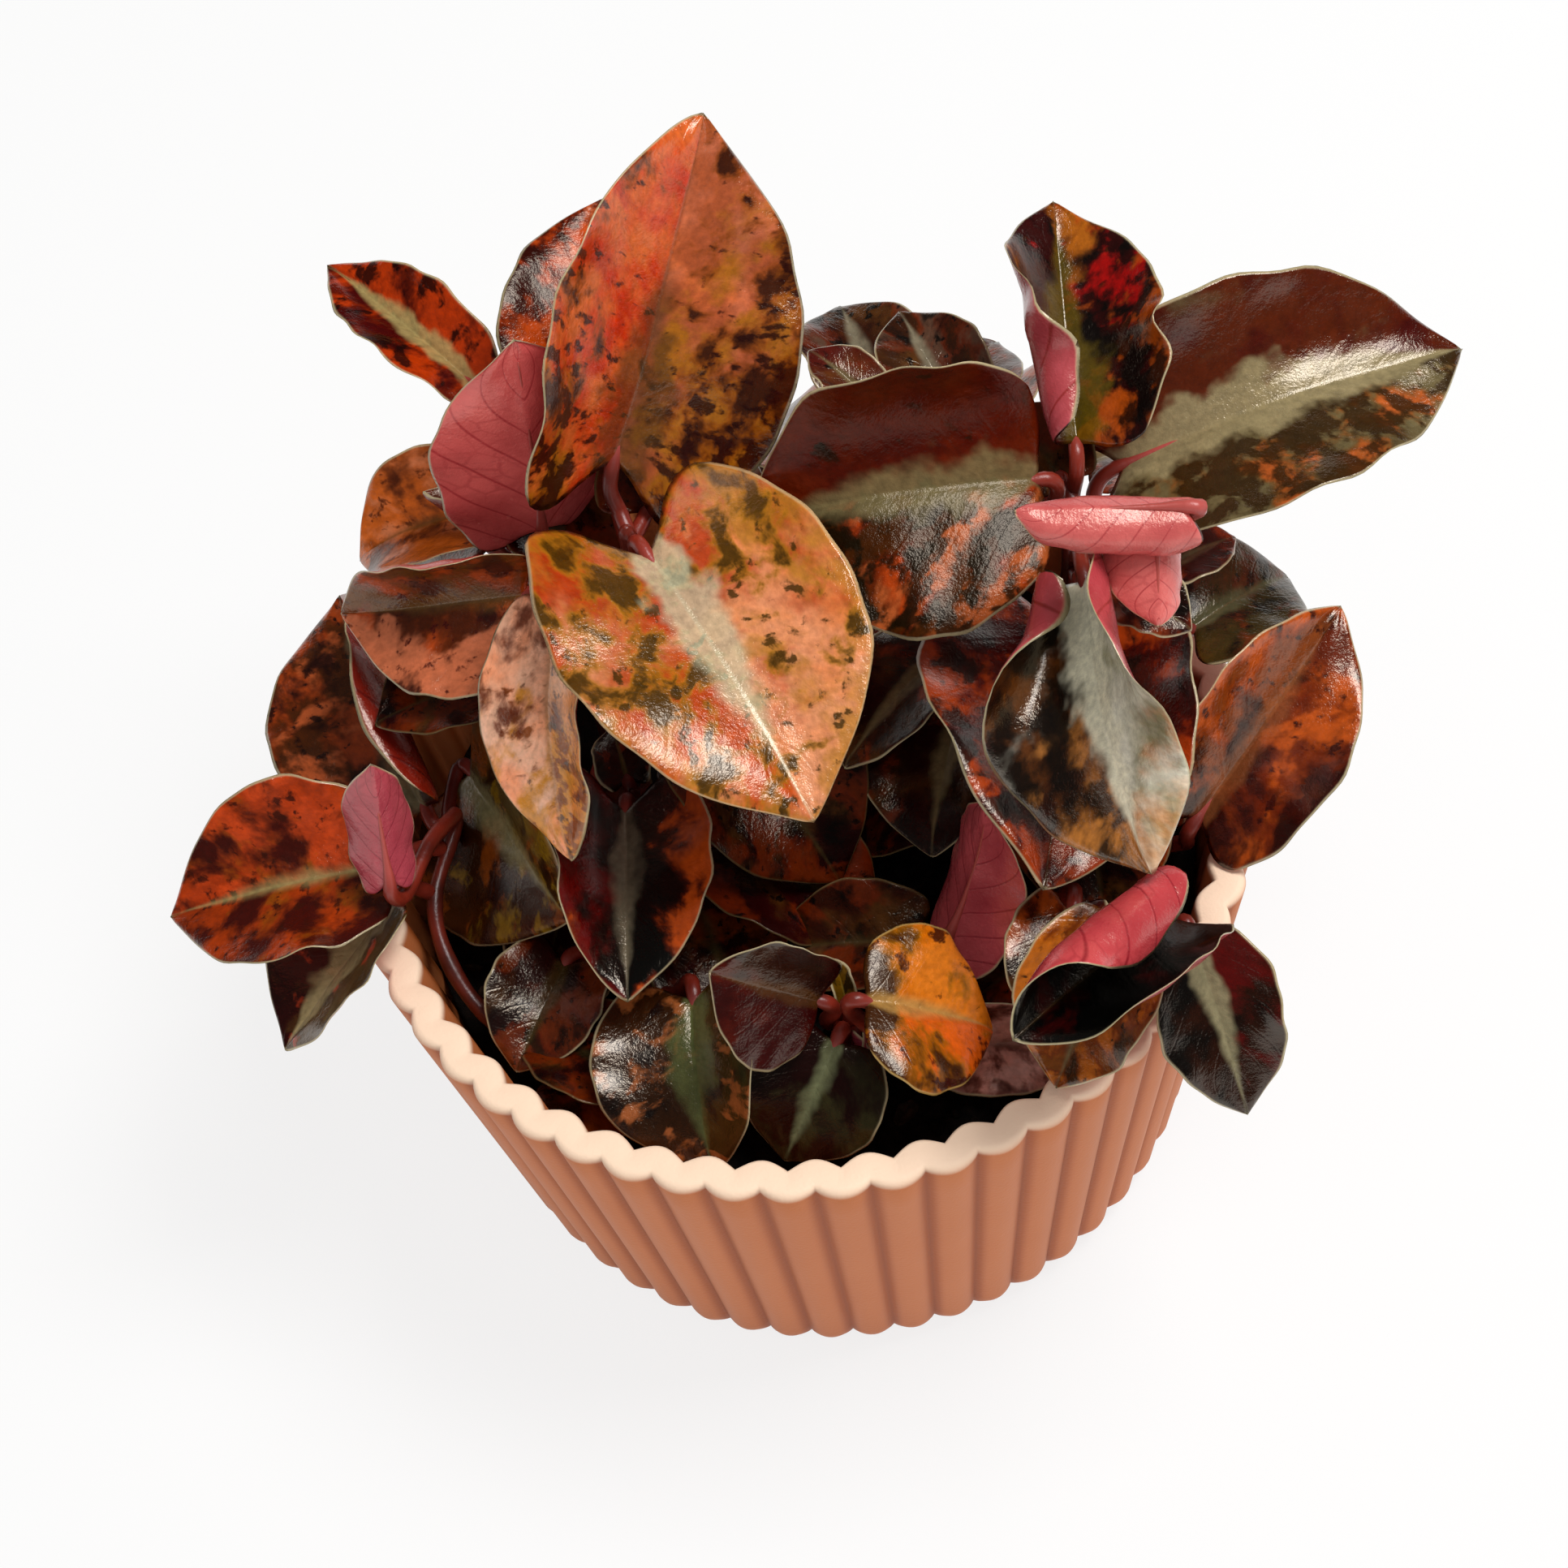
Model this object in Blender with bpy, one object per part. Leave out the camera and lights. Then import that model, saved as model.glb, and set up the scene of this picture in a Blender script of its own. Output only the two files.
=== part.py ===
"""Potted peperomia: a fluted pot, its soil, and a clump of broad waxy leaves on short stems.

Lengths are in millimetres and angles in degrees until a mesh is made, which is in metres.
The origin is the centre of the pot's base, +Z is up, and the plant's fullest side faces -Y.
"""

import bpy
import numpy as np

MM = 0.001
GAP = 0.3                   # clearance between pieces that touch

# Pot: a tapered wall of even thickness, pressed into flutes inside and out.
POT_HEIGHT = 57.0
FLUTES = 54
STEPS_PER_FLUTE = 4
RIM_RADIUS = 51.8           # outer wall at the rim, in the valleys between two flutes
FLUTE_DEPTH = 1.25
RIM_THICKNESS = 2.4         # from the outer valley to the inner notch
INNER_DEPTH = 1.3
WALL_SLOPE = 0.142          # how far the wall leans out for each millimetre of height
FOOT_ROUNDING = 5.0
FOOT_INSET = 2.2            # from the wall's valleys in to the edge of the flat base
FLOOR_THICKNESS = 3.2
LIP = 1.0                   # height of the rounded lip
LIP_INSET = 0.55            # how far the lip's top edges step in
LIP_FLUTE = 0.8             # share of the flutes' depth left on the lip's top

# Soil
SOIL_TOP = 44.0
SOIL_STEPS = 48
SOIL_MOUND = 1.6
HOLLOW_DEPTH = 0.35

# Stems and leaf stalks
TUBE_SIDES = 8
STEM_RADIUS = 1.6
STEM_FOOT = 1.15            # a stem's radius at the soil and at its tip, as shares of that
STEM_TIP = 0.85
STALK_RADIUS = 0.9

# Leaf blades
BLADE_THICKNESS = 0.9
NEARLY_FLAT = 0.01          # keeps the bend of a flat row or midrib away from zero
ACROSS = np.array([-1.0, -0.55, 0.0, 0.55, 1.0])
ALONG = np.array([0.0, 0.08, 0.22, 0.4, 0.6, 0.8, 0.93])
TURNED_COLUMNS = (0, 1, 4, 5)    # columns of a leaf's ring with the veins on the other diagonal


def leaf(base, heading, rise, roll, length, width, below=2.0, arch=25, curl=(30, 30),
         fold=8, lobe=0.14, twist=0):
    """One leaf: where its blade starts, how it points, and how the blade is bent.

    heading turns it about +Z from +X, rise lifts its tip and roll turns it about its midrib.
    below is how far down its stem the stalk leaves. arch bends the tip down, fold creases
    the midrib, curl lifts the left and the right half, and lobe is how far the base reaches
    back, as a share of the length.
    """
    return dict(base=base, heading=heading, rise=rise, roll=roll, length=length, width=width,
                below=below, arch=arch, curl=curl, fold=fold, lobe=lobe, twist=twist)


# Each shoot is a stem, given by a few points from the soil up, and the leaves that it carries.
SHOOTS = {
    "tall": ([(-12, 18), (-14, 19, 66), (-14, 19, 85)], [
        leaf((-14, 25, 90), 52, 44, 51, 40, 35, 1, arch=8, curl=(41, 17), fold=10, lobe=0.09),
        leaf((-12, 12, 90), -67, -1, -8, 37, 35, 2, arch=26, curl=(29, 10), lobe=0.17, twist=6),
        leaf((-15, 37, 85), 78, 40, 1, 27, 24, 6, arch=33),
    ]),
    "left": ([(-20, 14), (-22, 17, 62), (-22, 19, 72)], [
        leaf((-24, 27, 79), 152, 96, 131, 31, 23, 1, arch=-9, curl=(43, 16), fold=9, lobe=0.12),
        leaf((-23, 7.5, 88.5), -107, -19, 31, 28, 19, 2, arch=33, curl=(52, 17), fold=2, lobe=0.09),
        leaf((-31, 36, 73), -176, 11, -5, 17, 19, 5, arch=52, curl=(39, 39), fold=12, lobe=0.17),
        leaf((-26.5, 17, 80), 178, 2, -48, 22, 23, 3, arch=18, curl=(34, 88), fold=14, lobe=0.06),
    ]),
    "low_left": ([(-32, -24), (-41, -17, 50), (-44, -7, 55), (-40, 3, 58)], [
        leaf((-43.5, 5, 59), 111, 14, -35, 34, 27, 1, arch=29, curl=(24, 65), fold=20, lobe=0.06),
        leaf((-49, -4, 62), 182, 5, -10, 25, 25, 4, arch=22, curl=(31, 37), fold=11, lobe=0.05),
        leaf((-48, -7, 59), -141, -19, 19, 21, 21, 9, arch=4, curl=(26, 35), fold=15, lobe=0.03),
        leaf((-47, -10, 67), 264, 123, 15, 16, 10, 0, arch=19, curl=(52, 51), fold=16, lobe=0.09),
        leaf((-38, 10, 58), -69, 7, 48, 27, 29, 1, arch=2, curl=(49, 18), lobe=0.06, twist=14),
    ]),
    "inner": ([(-16, -1), (-18, 1, 52), (-19, 2, 58)], [
        leaf((-20, -2, 62), -96, 6, -4, 25, 22, 1, arch=18, curl=(17, 66), fold=15, lobe=0.17),
    ]),
    "right": ([(30, 8), (34, 11, 66), (36, 13, 82)], [
        leaf((32, 13, 89), 183, 14, -22, 33, 34, 1, arch=31, curl=(-3, 80), lobe=0, twist=-10),
        leaf((37, 17, 89), 84, 15, 15, 30, 26, 2, arch=-4, curl=(86, 57), fold=18, lobe=0.05),
        leaf((42, 18.5, 82), 3, 21, 16, 42, 31, 4, arch=36, curl=(55, 31), lobe=0.12),
        leaf((44.5, -5.5, 102.5), 172, 5, 180, 18, 15, 5, arch=0, curl=(75, 60), lobe=0.1),
        leaf((34, -1, 88), -97, -5, 51, 35, 30, 3, arch=19, curl=(82, 24), fold=3, lobe=0.04),
        leaf((33, 6.5, 69.5), -104, 5, -13, 36, 35, 12, arch=5, curl=(61, -5), fold=14, twist=-23),
        leaf((37.5, -1, 86.5), -46, -1, 14, 10, 9, 8),
        leaf((45, 6, 78), 18, 9, 8, 9, 8, 10),
        leaf((19, 9, 66), -142, 0, 7, 18, 15, 20),
        leaf((20, 4, 60), -116, 2, 15, 18, 20, 22, arch=33, curl=(48, 25)),
    ]),
    "right_edge": ([(36, -13), (39, -14, 50), (40, -15, 55)], [
        leaf((43.5, -16, 60), 32, 37, 35, 29, 22, 1, arch=21, curl=(45, 26), fold=16, lobe=0.1),
        leaf((47, 3, 70), 28, 2, 12, 17, 17, 2, arch=40),
    ]),
    "back": ([(14, 28), (16, 31, 66), (17, 32, 78)], [
        leaf((17, 38.5, 78.5), 96, 22, 3, 15, 16, 1, arch=42),
        leaf((25, 30, 83), 104, 24, 1, 15, 14, 3, arch=28),
        leaf((16, 29, 88), 130, 27, 0, 10, 8, 0),
    ]),
    "front_right": ([(30, -26), (35, -29, 56), (37, -31, 65)], [
        leaf((35.5, -34.5, 72), -139, 20, -12, 26, 30, 1, arch=5, curl=(70, 175), fold=20, lobe=0.02),
        leaf((38.5, -35, 67.5), -80, -30, 3, 21, 15, 2, arch=24, curl=(38, 26), lobe=0.01),
        leaf((31.5, -33.5, 67), -131, -18, 5, 18, 18, 5, arch=22, curl=(25, 43), fold=12, lobe=0.1),
    ]),
    "front": ([(2, -27), (1, -29, 50), (1, -30, 54)], [
        leaf((-2, -31.5, 61.5), 177, 39, -50, 14, 18, 1, arch=6, curl=(11, 63), fold=10, lobe=0),
        leaf((3, -33.5, 63.5), -6, -22, 6, 17, 20, 1, arch=30, curl=(1, -13), lobe=0.02),
        leaf((-1, -34, 56.5), -126, -19, -16, 15, 17, 3, arch=37, curl=(17, 19), lobe=0.05),
    ]),
    "front_low": ([(16, -20), (16, -20, 47), (15, -20, 50)], [
        leaf((14, -22, 54), 215, 123, -12, 20, 16, 1, arch=19, curl=(16, 37), fold=6),
        leaf((27, -26.5, 63), -118, -2, 4, 14, 12, 2),
        leaf((11, -31.5, 47), -16, 12, 27, 18, 13, 4, arch=19, curl=(70, 19), fold=12),
    ]),
    "front_left": ([(-20, -18), (-21, -18, 48), (-21, -18, 50)], [
        leaf((-16, -24.5, 55.5), -98, -8, 21, 20, 24, 1, arch=30, curl=(44, 31), fold=13, lobe=0.1),
        leaf((-30, -15, 52), -121, 1, -8, 14, 15, 2),
    ]),
    "back_left": ([(-22, 34), (-25, 37, 64), (-26, 39, 76)], [
        leaf((-29, 46, 84), 128, 14, -3, 26, 14, 1, arch=13, curl=(38, 47), fold=14, lobe=0.04),
        leaf((-25, 45.5, 64.5), 112, -28, 0, 26, 25, 10, arch=45),
        leaf((-35, 37.5, 60.5), 158, -30, 10, 24, 22, 14, arch=35),
    ]),
    "back_right": ([(26, 30), (28, 32, 54), (30, 34, 60)], [
        leaf((27, 43, 64), 85, -25, 0, 27, 25, 1, arch=45),
        leaf((41, 35.5, 62.5), 30, -20, 0, 27, 24, 3, arch=40),
        leaf((11, 42, 65), 112, -18, 0, 24, 23, 6, arch=35),
    ]),
}


def clear_scene():
    for item in list(bpy.data.objects):
        bpy.data.objects.remove(item, do_unlink=True)


def material(name, colour, roughness):
    """A Principled material of one plain colour."""
    made = bpy.data.materials.new(name)
    made.use_nodes = True
    shader = made.node_tree.nodes["Principled BSDF"]
    shader.inputs["Base Color"].default_value = (*colour, 1.0)
    shader.inputs["Roughness"].default_value = roughness
    shader.inputs["Metallic"].default_value = 0.0
    return made


def loft(rings, apex=None):
    """Skin a stack of closed rings, capped at the first ring and at the last ring or the apex.

    rings has the shape (rings, points, 3). Seen along the stack the rings turn anticlockwise.
    """
    count, points = rings.shape[:2]
    start = np.arange(count - 1)[:, None] * points
    here = start + np.arange(points)
    after = start + (np.arange(points) + 1) % points
    faces = np.stack([here, after, after + points, here + points], axis=-1).reshape(-1, 4).tolist()
    faces.append(list(range(points))[::-1])
    last = (count - 1) * points
    corners = rings.reshape(-1, 3)
    if apex is None:
        faces.append(list(range(last, last + points)))
    else:
        faces += [[last + i, last + (i + 1) % points, len(corners)] for i in range(points)]
        corners = np.vstack([corners, apex])
    return corners, faces


def add_object(name, corners, faces, finish, sharp_angle=50):
    """Make one named object from corners in millimetres."""
    mesh = bpy.data.meshes.new(name)
    mesh.from_pydata((corners * MM).tolist(), [], faces)
    mesh.materials.append(finish)
    mesh.shade_smooth()
    mesh.set_sharp_from_angle(angle=np.radians(sharp_angle))
    made = bpy.data.objects.new(name, mesh)
    bpy.context.collection.objects.link(made)
    return made


def turned_ring(height, radius, steps):
    """A ring about the Z axis; radius may be one value or one for each step."""
    angle = np.linspace(0, 2 * np.pi, steps, endpoint=False)
    spread = np.broadcast_to(radius, angle.shape)
    return np.stack([spread * np.cos(angle), spread * np.sin(angle),
                     np.full(steps, float(height))], axis=-1)


def outer_ring(height, inset=0.0, depth=FLUTE_DEPTH):
    """Outer wall: rounded flutes that meet in sharp valleys, one crest on the X axis."""
    steps = FLUTES * STEPS_PER_FLUTE
    phase = np.arange(steps) * np.pi / STEPS_PER_FLUTE
    valley = RIM_RADIUS - WALL_SLOPE * (POT_HEIGHT - height) - inset
    return turned_ring(height, valley + depth * np.abs(np.cos(phase)) ** 0.8, steps)


def inner_ring(height, inset=0.0, depth=INNER_DEPTH):
    """Inner wall: sharp notches behind the outer crests, with round bumps between them."""
    steps = FLUTES * STEPS_PER_FLUTE
    phase = np.arange(steps) * np.pi / STEPS_PER_FLUTE
    notch = RIM_RADIUS - RIM_THICKNESS - WALL_SLOPE * (POT_HEIGHT - height) + inset
    return turned_ring(height, notch - depth * np.abs(np.sin(phase)), steps)


def build_pot(finish):
    """The pot in one piece: out over the foot, up the wall, over the lip and down inside."""
    rings = [
        outer_ring(0, FOOT_INSET, 0.0),
        outer_ring(FOOT_ROUNDING / 4, FOOT_INSET / 3, FLUTE_DEPTH / 3),
        outer_ring(FOOT_ROUNDING),
        outer_ring(POT_HEIGHT - LIP),
        outer_ring(POT_HEIGHT, LIP_INSET, LIP_FLUTE * FLUTE_DEPTH),
        inner_ring(POT_HEIGHT, LIP_INSET, LIP_FLUTE * INNER_DEPTH),
        inner_ring(POT_HEIGHT - LIP),
        inner_ring(FLOOR_THICKNESS),
    ]
    corners, faces = loft(np.array(rings))
    return add_object("pot", corners, faces, finish)


def soil_height(x, y):
    """Top of the soil: a low mound with gentle hollows, level at the wall."""
    edge = soil_radius(SOIL_TOP)
    reach = np.clip(np.hypot(x, y) / edge, 0, 1)
    hollows = HOLLOW_DEPTH * np.sin(0.21 * x + 0.8) * np.cos(0.17 * y - 0.4)
    return SOIL_TOP + (SOIL_MOUND + hollows) * (1 - reach ** 2)


def soil_radius(height):
    """The soil fills the pot up to the inner bumps."""
    bump = RIM_RADIUS - RIM_THICKNESS - INNER_DEPTH - WALL_SLOPE * (POT_HEIGHT - height)
    return bump - GAP


def build_soil(finish):
    foot = FLOOR_THICKNESS + GAP
    rings = [turned_ring(foot, soil_radius(foot), SOIL_STEPS)]
    for share in (1.0, 0.8, 0.55, 0.28):
        ring = turned_ring(0, share * soil_radius(SOIL_TOP), SOIL_STEPS)
        ring[:, 2] = soil_height(ring[:, 0], ring[:, 1])
        rings.append(ring)
    apex = np.array([0.0, 0.0, soil_height(0.0, 0.0)])
    corners, faces = loft(np.array(rings), apex)
    return add_object("soil", corners, faces, finish)


def unit(vector):
    return vector / np.linalg.norm(vector, axis=-1, keepdims=True)


def smooth_path(points, count):
    """Points along a Catmull-Rom curve through the given points, evenly spaced in its parameter."""
    padded = np.vstack([2 * points[0] - points[1], points, 2 * points[-1] - points[-2]])
    spot = np.linspace(0, len(points) - 1, count)
    start = np.minimum(spot.astype(int), len(points) - 2)
    t = (spot - start)[:, None]
    a, b, c, d = (padded[start + i] for i in range(4))
    return 0.5 * (2 * b + (c - a) * t + (2 * a - 5 * b + 4 * c - d) * t ** 2
                  + (3 * b - a - 3 * c + d) * t ** 3)


def stem_path(points):
    """A stem's middle line, from just above the soil to the crown."""
    foot = (*points[0], soil_height(*points[0]) + GAP)
    return smooth_path(np.array([foot, *points[1:]], dtype=float), 3 * len(points))


def tube_rings(line, tangent, reference, radius):
    """Round sections square to a line, turning clockwise as seen along it.

    They start on the side away from the reference direction.
    """
    side = unit(reference - (tangent @ reference)[:, None] * tangent)
    rise = np.cross(tangent, side)
    turn = (np.pi - np.linspace(0, 2 * np.pi, TUBE_SIDES, endpoint=False))[None, :, None]
    circle = np.cos(turn) * side[:, None] + np.sin(turn) * rise[:, None]
    return line[:, None] + radius * circle


def stem_radius(share):
    """A stem's radius at a share of the way from the soil to its tip."""
    return STEM_RADIUS * (STEM_FOOT + (STEM_TIP - STEM_FOOT) * share)


def build_stem(name, path, finish):
    """A stem: a flat foot on the soil, round sections along its path and a blunt tip."""
    tangent = unit(np.gradient(path, axis=0))
    tangent[0] = [0.0, 0.0, 1.0]
    radius = stem_radius(np.linspace(0, 1, len(path)))[:, None, None]
    rings = tube_rings(path, tangent, np.array([1.0, 0.0, 0.0]), radius)
    apex = path[-1] + STEM_TIP * STEM_RADIUS * tangent[-1]
    corners, faces = loft(rings[:, ::-1], apex)
    return add_object(name, corners, faces, finish)


def half_width(along):
    """Half the blade's width along the midrib: full and round at the base, drawn to a point."""
    short, widest = 0.12, 0.42
    power = np.log(0.5) / np.log((widest + short) / (1 + short))
    place = (along + short) / (1 + short)
    return np.sin(np.pi * np.clip(place, 0, 1) ** power).clip(0) ** (0.8 + 0.2 * along)


def leaf_axes(spec):
    """The directions along the midrib, to the blade's left and out of its upper face."""
    heading, rise, roll = np.radians([spec["heading"], spec["rise"], spec["roll"]])
    forward = np.array([np.cos(heading) * np.cos(rise), np.sin(heading) * np.cos(rise), np.sin(rise)])
    level = np.array([-np.sin(heading), np.cos(heading), 0.0])
    above = np.cross(forward, level)
    left = np.cos(roll) * level + np.sin(roll) * above
    return forward, left, np.cross(forward, left)


def blade_surface(spec, along, across):
    """Middle surface of a blade, on a grid of shares along the midrib and across each half.

    Rows near the base bow back to form the lobes. Each row is an arc that starts at the
    fold's angle and turns by the curl, and the rows follow a midrib that bends by the arch.
    """
    row, side = np.meshgrid(along, across, indexing="ij")
    length, half = spec["length"], spec["width"] / 2
    reach = length * (row - spec["lobe"] * np.abs(side) ** 1.5 * (1 - row) ** 2.2)
    out = np.abs(side) * half_width(row)
    curl = np.radians(np.where(side > 0, *spec["curl"]) + NEARLY_FLAT)
    fold = np.radians(spec["fold"])
    y = half / curl * (np.sin(fold + curl * out) - np.sin(fold)) * np.sign(side)
    z = half / curl * (np.cos(fold) - np.cos(fold + curl * out))
    turn = np.radians(spec["twist"]) * reach / length
    y, z = y * np.cos(turn) - z * np.sin(turn), y * np.sin(turn) + z * np.cos(turn)
    arch = np.radians(spec["arch"] + NEARLY_FLAT)
    bend = arch * reach / length
    x = length / arch * np.sin(bend) + z * np.sin(bend)
    z = length / arch * (np.cos(bend) - 1) + z * np.cos(bend)
    local = np.stack([x, y, z], axis=-1)
    return np.array(spec["base"], float) + local @ np.array(leaf_axes(spec))


def blade_rings(spec):
    """Closed rings round the blade: over its upper face to the left, back under it."""
    middle = blade_surface(spec, ALONG, ACROSS)
    down = np.gradient(middle, axis=0)
    over = np.gradient(middle, axis=1)
    normal = unit(np.cross(down, over))
    half = BLADE_THICKNESS / 2 * (1 - ACROSS ** 2)[None, :, None]
    upper = middle + half * normal
    under = middle - half * normal
    return np.concatenate([upper, under[:, -2:0:-1]], axis=1)


def point_below_top(path, distance):
    """The point some way down a stem from its top, with the stem's direction and radius there."""
    from_top = path[::-1]
    steps = np.linalg.norm(np.diff(from_top, axis=0), axis=1)
    walked = np.append(0, np.cumsum(steps))
    point = np.array([np.interp(distance, walked, from_top[:, axis]) for axis in range(3)])
    segment = min(np.searchsorted(walked, distance, side="right"), len(steps)) - 1
    along = unit(from_top[segment] - from_top[segment + 1])
    return point, along, stem_radius(1 - distance / walked[-1])


def stalk_line(spec, path):
    """A curve from the stem to the blade, leaving the stem squarely, with its tangents."""
    root, along, radius = point_below_top(path, spec["below"])
    base = np.array(spec["base"], float)
    forward, left, above = leaf_axes(spec)
    out = unit(base - root - (base - root) @ along * along)
    root = root + out * (radius + GAP)
    end = base - 1.2 * forward - 0.2 * above
    reach = 0.35 * np.linalg.norm(base - root)
    t = np.array([0.0, 0.35, 0.7, 1.0])[:, None]
    weights = ((1 - t) ** 3, 3 * t * (1 - t) ** 2, 3 * t * t * (1 - t), t ** 3)
    knots = (root, root + reach * out, end - reach * forward, end)
    line = sum(weight * knot for weight, knot in zip(weights, knots))
    return line, unit(np.vstack([out, line[2:] - line[:-2], forward]))


def stalk_rings(spec, path):
    """Round rings from the stem to the blade, lined up with the blade's own rings."""
    line, tangent = stalk_line(spec, path)
    return tube_rings(line, tangent, leaf_axes(spec)[1], STALK_RADIUS)


def cut_quads(faces):
    """Cut each quad of a leaf in two, with the same diagonals over and under the blade.

    They run from the midrib out and towards the tip, as the veins do, so the two faces of
    the thin blade keep their distance where it bends.
    """
    cut = []
    for number, face in enumerate(faces):
        if len(face) == 4:
            turned = face[1:] + face[:1] if number % TUBE_SIDES in TURNED_COLUMNS else face
            cut += [turned[:3], [turned[0], turned[2], turned[3]]]
        else:
            cut.append(face)
    return cut


def build_leaf(name, spec, path, finish):
    rings = np.concatenate([stalk_rings(spec, path), blade_rings(spec)])
    apex = blade_surface(spec, np.array([1.0]), np.array([0.0]))[0, 0]
    corners, faces = loft(rings, apex)
    faces = [face[::-1] for face in cut_quads(faces)]
    return add_object(name, corners, faces, finish, 80)


def main():
    clear_scene()
    build_pot(material("clay_pink", (0.72, 0.36, 0.26), 0.55))
    build_soil(material("dark_soil", (0.03, 0.02, 0.015), 0.95))
    stem_finish = material("red_stem", (0.25, 0.03, 0.03), 0.4)
    leaf_finish = material("waxy_leaf", (0.30, 0.08, 0.03), 0.35)
    for shoot, (points, leaves) in SHOOTS.items():
        path = stem_path(points)
        build_stem(f"{shoot}_stem", path, stem_finish)
        for number, spec in enumerate(leaves, start=1):
            build_leaf(f"{shoot}_leaf_{number}", spec, path, leaf_finish)


main()
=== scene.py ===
# %% [markdown]
# # A potted peperomia, dressed leaf by leaf
#
# The solid model is loaded first and is never changed: it says where every leaf, stem and
# wall is, and how big. Each step then makes one kind of piece as a finer surface, worked out
# with numpy, seats it on its solid, and gives it a finish of procedural nodes.
# Lengths are worked out in millimetres and turned into metres when a mesh is made.

# %% Load the solids and note their size
import bpy
import numpy as np
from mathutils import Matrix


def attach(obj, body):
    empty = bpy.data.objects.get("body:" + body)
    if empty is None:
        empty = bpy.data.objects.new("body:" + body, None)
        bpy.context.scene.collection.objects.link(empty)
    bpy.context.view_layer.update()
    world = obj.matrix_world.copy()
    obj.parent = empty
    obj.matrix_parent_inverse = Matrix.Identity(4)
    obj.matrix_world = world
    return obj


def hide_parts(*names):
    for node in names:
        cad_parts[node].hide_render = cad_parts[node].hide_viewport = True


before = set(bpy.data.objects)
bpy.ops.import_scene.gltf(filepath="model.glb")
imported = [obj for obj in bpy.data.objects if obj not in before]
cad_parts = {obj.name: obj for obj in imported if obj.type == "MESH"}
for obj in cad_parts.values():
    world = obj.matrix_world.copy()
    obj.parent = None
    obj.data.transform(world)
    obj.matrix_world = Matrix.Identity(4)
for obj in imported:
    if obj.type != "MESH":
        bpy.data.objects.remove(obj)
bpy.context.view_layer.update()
MM = 0.001

# %% [markdown]
# ## Camera
#
# The plant is seen from above and in front, as when it is held out at arm's length. The camera
# looks down at a fixed angle and is tilted a little about its own line of sight. Its matrix is
# put together from three directions, which is plainer than a set of Euler angles.

# %% Camera
LOOK_DOWN = np.radians(55.6)
TILT = np.radians(-10.2)
CAMERA_PLACE = (-0.0016, -0.2023, 0.3537)      # metres
LENS, SENSOR_WIDTH = 70.8, 36.0                # millimetres
NEAREST, FARTHEST = 0.01, 20.0                 # what the camera can see, in metres


def make_camera():
    """Right, up and back are the axes of a level camera looking down, turned by the tilt."""
    right = np.array([1.0, 0.0, 0.0])
    up = np.array([0.0, np.sin(LOOK_DOWN), np.cos(LOOK_DOWN)])
    back = np.array([0.0, -np.cos(LOOK_DOWN), np.sin(LOOK_DOWN)])
    matrix = np.eye(4)
    matrix[:3, 0] = np.cos(TILT) * right + np.sin(TILT) * up
    matrix[:3, 1] = -np.sin(TILT) * right + np.cos(TILT) * up
    matrix[:3, 2] = back
    matrix[:3, 3] = CAMERA_PLACE
    data = bpy.data.cameras.new("camera")
    data.lens, data.sensor_width = LENS, SENSOR_WIDTH
    data.clip_start, data.clip_end = NEAREST, FARTHEST
    made = bpy.data.objects.new("camera", data)
    made.matrix_world = matrix.T.tolist()
    bpy.context.scene.collection.objects.link(made)
    return made


bpy.context.scene.camera = make_camera()
bpy.context.scene.view_settings.view_transform = "Standard"
print("camera at", CAMERA_PLACE)

# %% [markdown]
# ## Helpers for node trees
#
# A finish is a small program of nodes. These helpers make it short to write: a value that is
# a socket is linked, and a plain number or colour is set on the socket itself. Colours are
# written as they look on a screen and turned into the linear values that Blender works in.

# %% Node helpers
def linear(code):
    """A colour written as #RRGGBB in linear light: each share s becomes ((s + .055) / 1.055)^2.4."""
    share = np.array([int(code[i:i + 2], 16) for i in (1, 3, 5)]) / 255
    light = np.where(share < 0.04045, share / 12.92, ((share + 0.055) / 1.055) ** 2.4)
    return (*light.tolist(), 1.0)


def feed(tree, socket, value):
    """Link a socket to another, or set its plain value."""
    if isinstance(value, bpy.types.NodeSocket):
        tree.links.new(value, socket)
    elif value is not None:
        socket.default_value = value


def math(tree, operation, a, b=None, c=None, clamp=False):
    """One step of arithmetic on up to three values: MULTIPLY_ADD, for one, is a * b + c."""
    node = tree.nodes.new("ShaderNodeMath")
    node.operation, node.use_clamp = operation, clamp
    for socket, value in zip(node.inputs, (a, b, c)):
        feed(tree, socket, value)
    return node.outputs[0]


def step(tree, value, low, high):
    """0 below low, 1 above high and a smooth rise between them."""
    node = tree.nodes.new("ShaderNodeMapRange")
    node.interpolation_type = "SMOOTHSTEP"
    for name, given in (("Value", value), ("From Min", low), ("From Max", high)):
        feed(tree, node.inputs[name], given)
    return node.outputs["Result"]


def blend_colour(tree, share, a, b, kind="MIX"):
    """Colour a where the share is 0 and b where it is 1; MULTIPLY darkens a by b instead."""
    node = tree.nodes.new("ShaderNodeMix")
    node.data_type, node.blend_type = "RGBA", kind
    feed(tree, node.inputs[0], share)
    feed(tree, node.inputs[6], a)
    feed(tree, node.inputs[7], b)
    return node.outputs[2]


def vector(tree, x, y, z):
    """Three values as one vector, or as a grey if they are the same."""
    node = tree.nodes.new("ShaderNodeCombineXYZ")
    for socket, value in zip(node.inputs, (x, y, z)):
        feed(tree, socket, value)
    return node.outputs[0]


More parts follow.
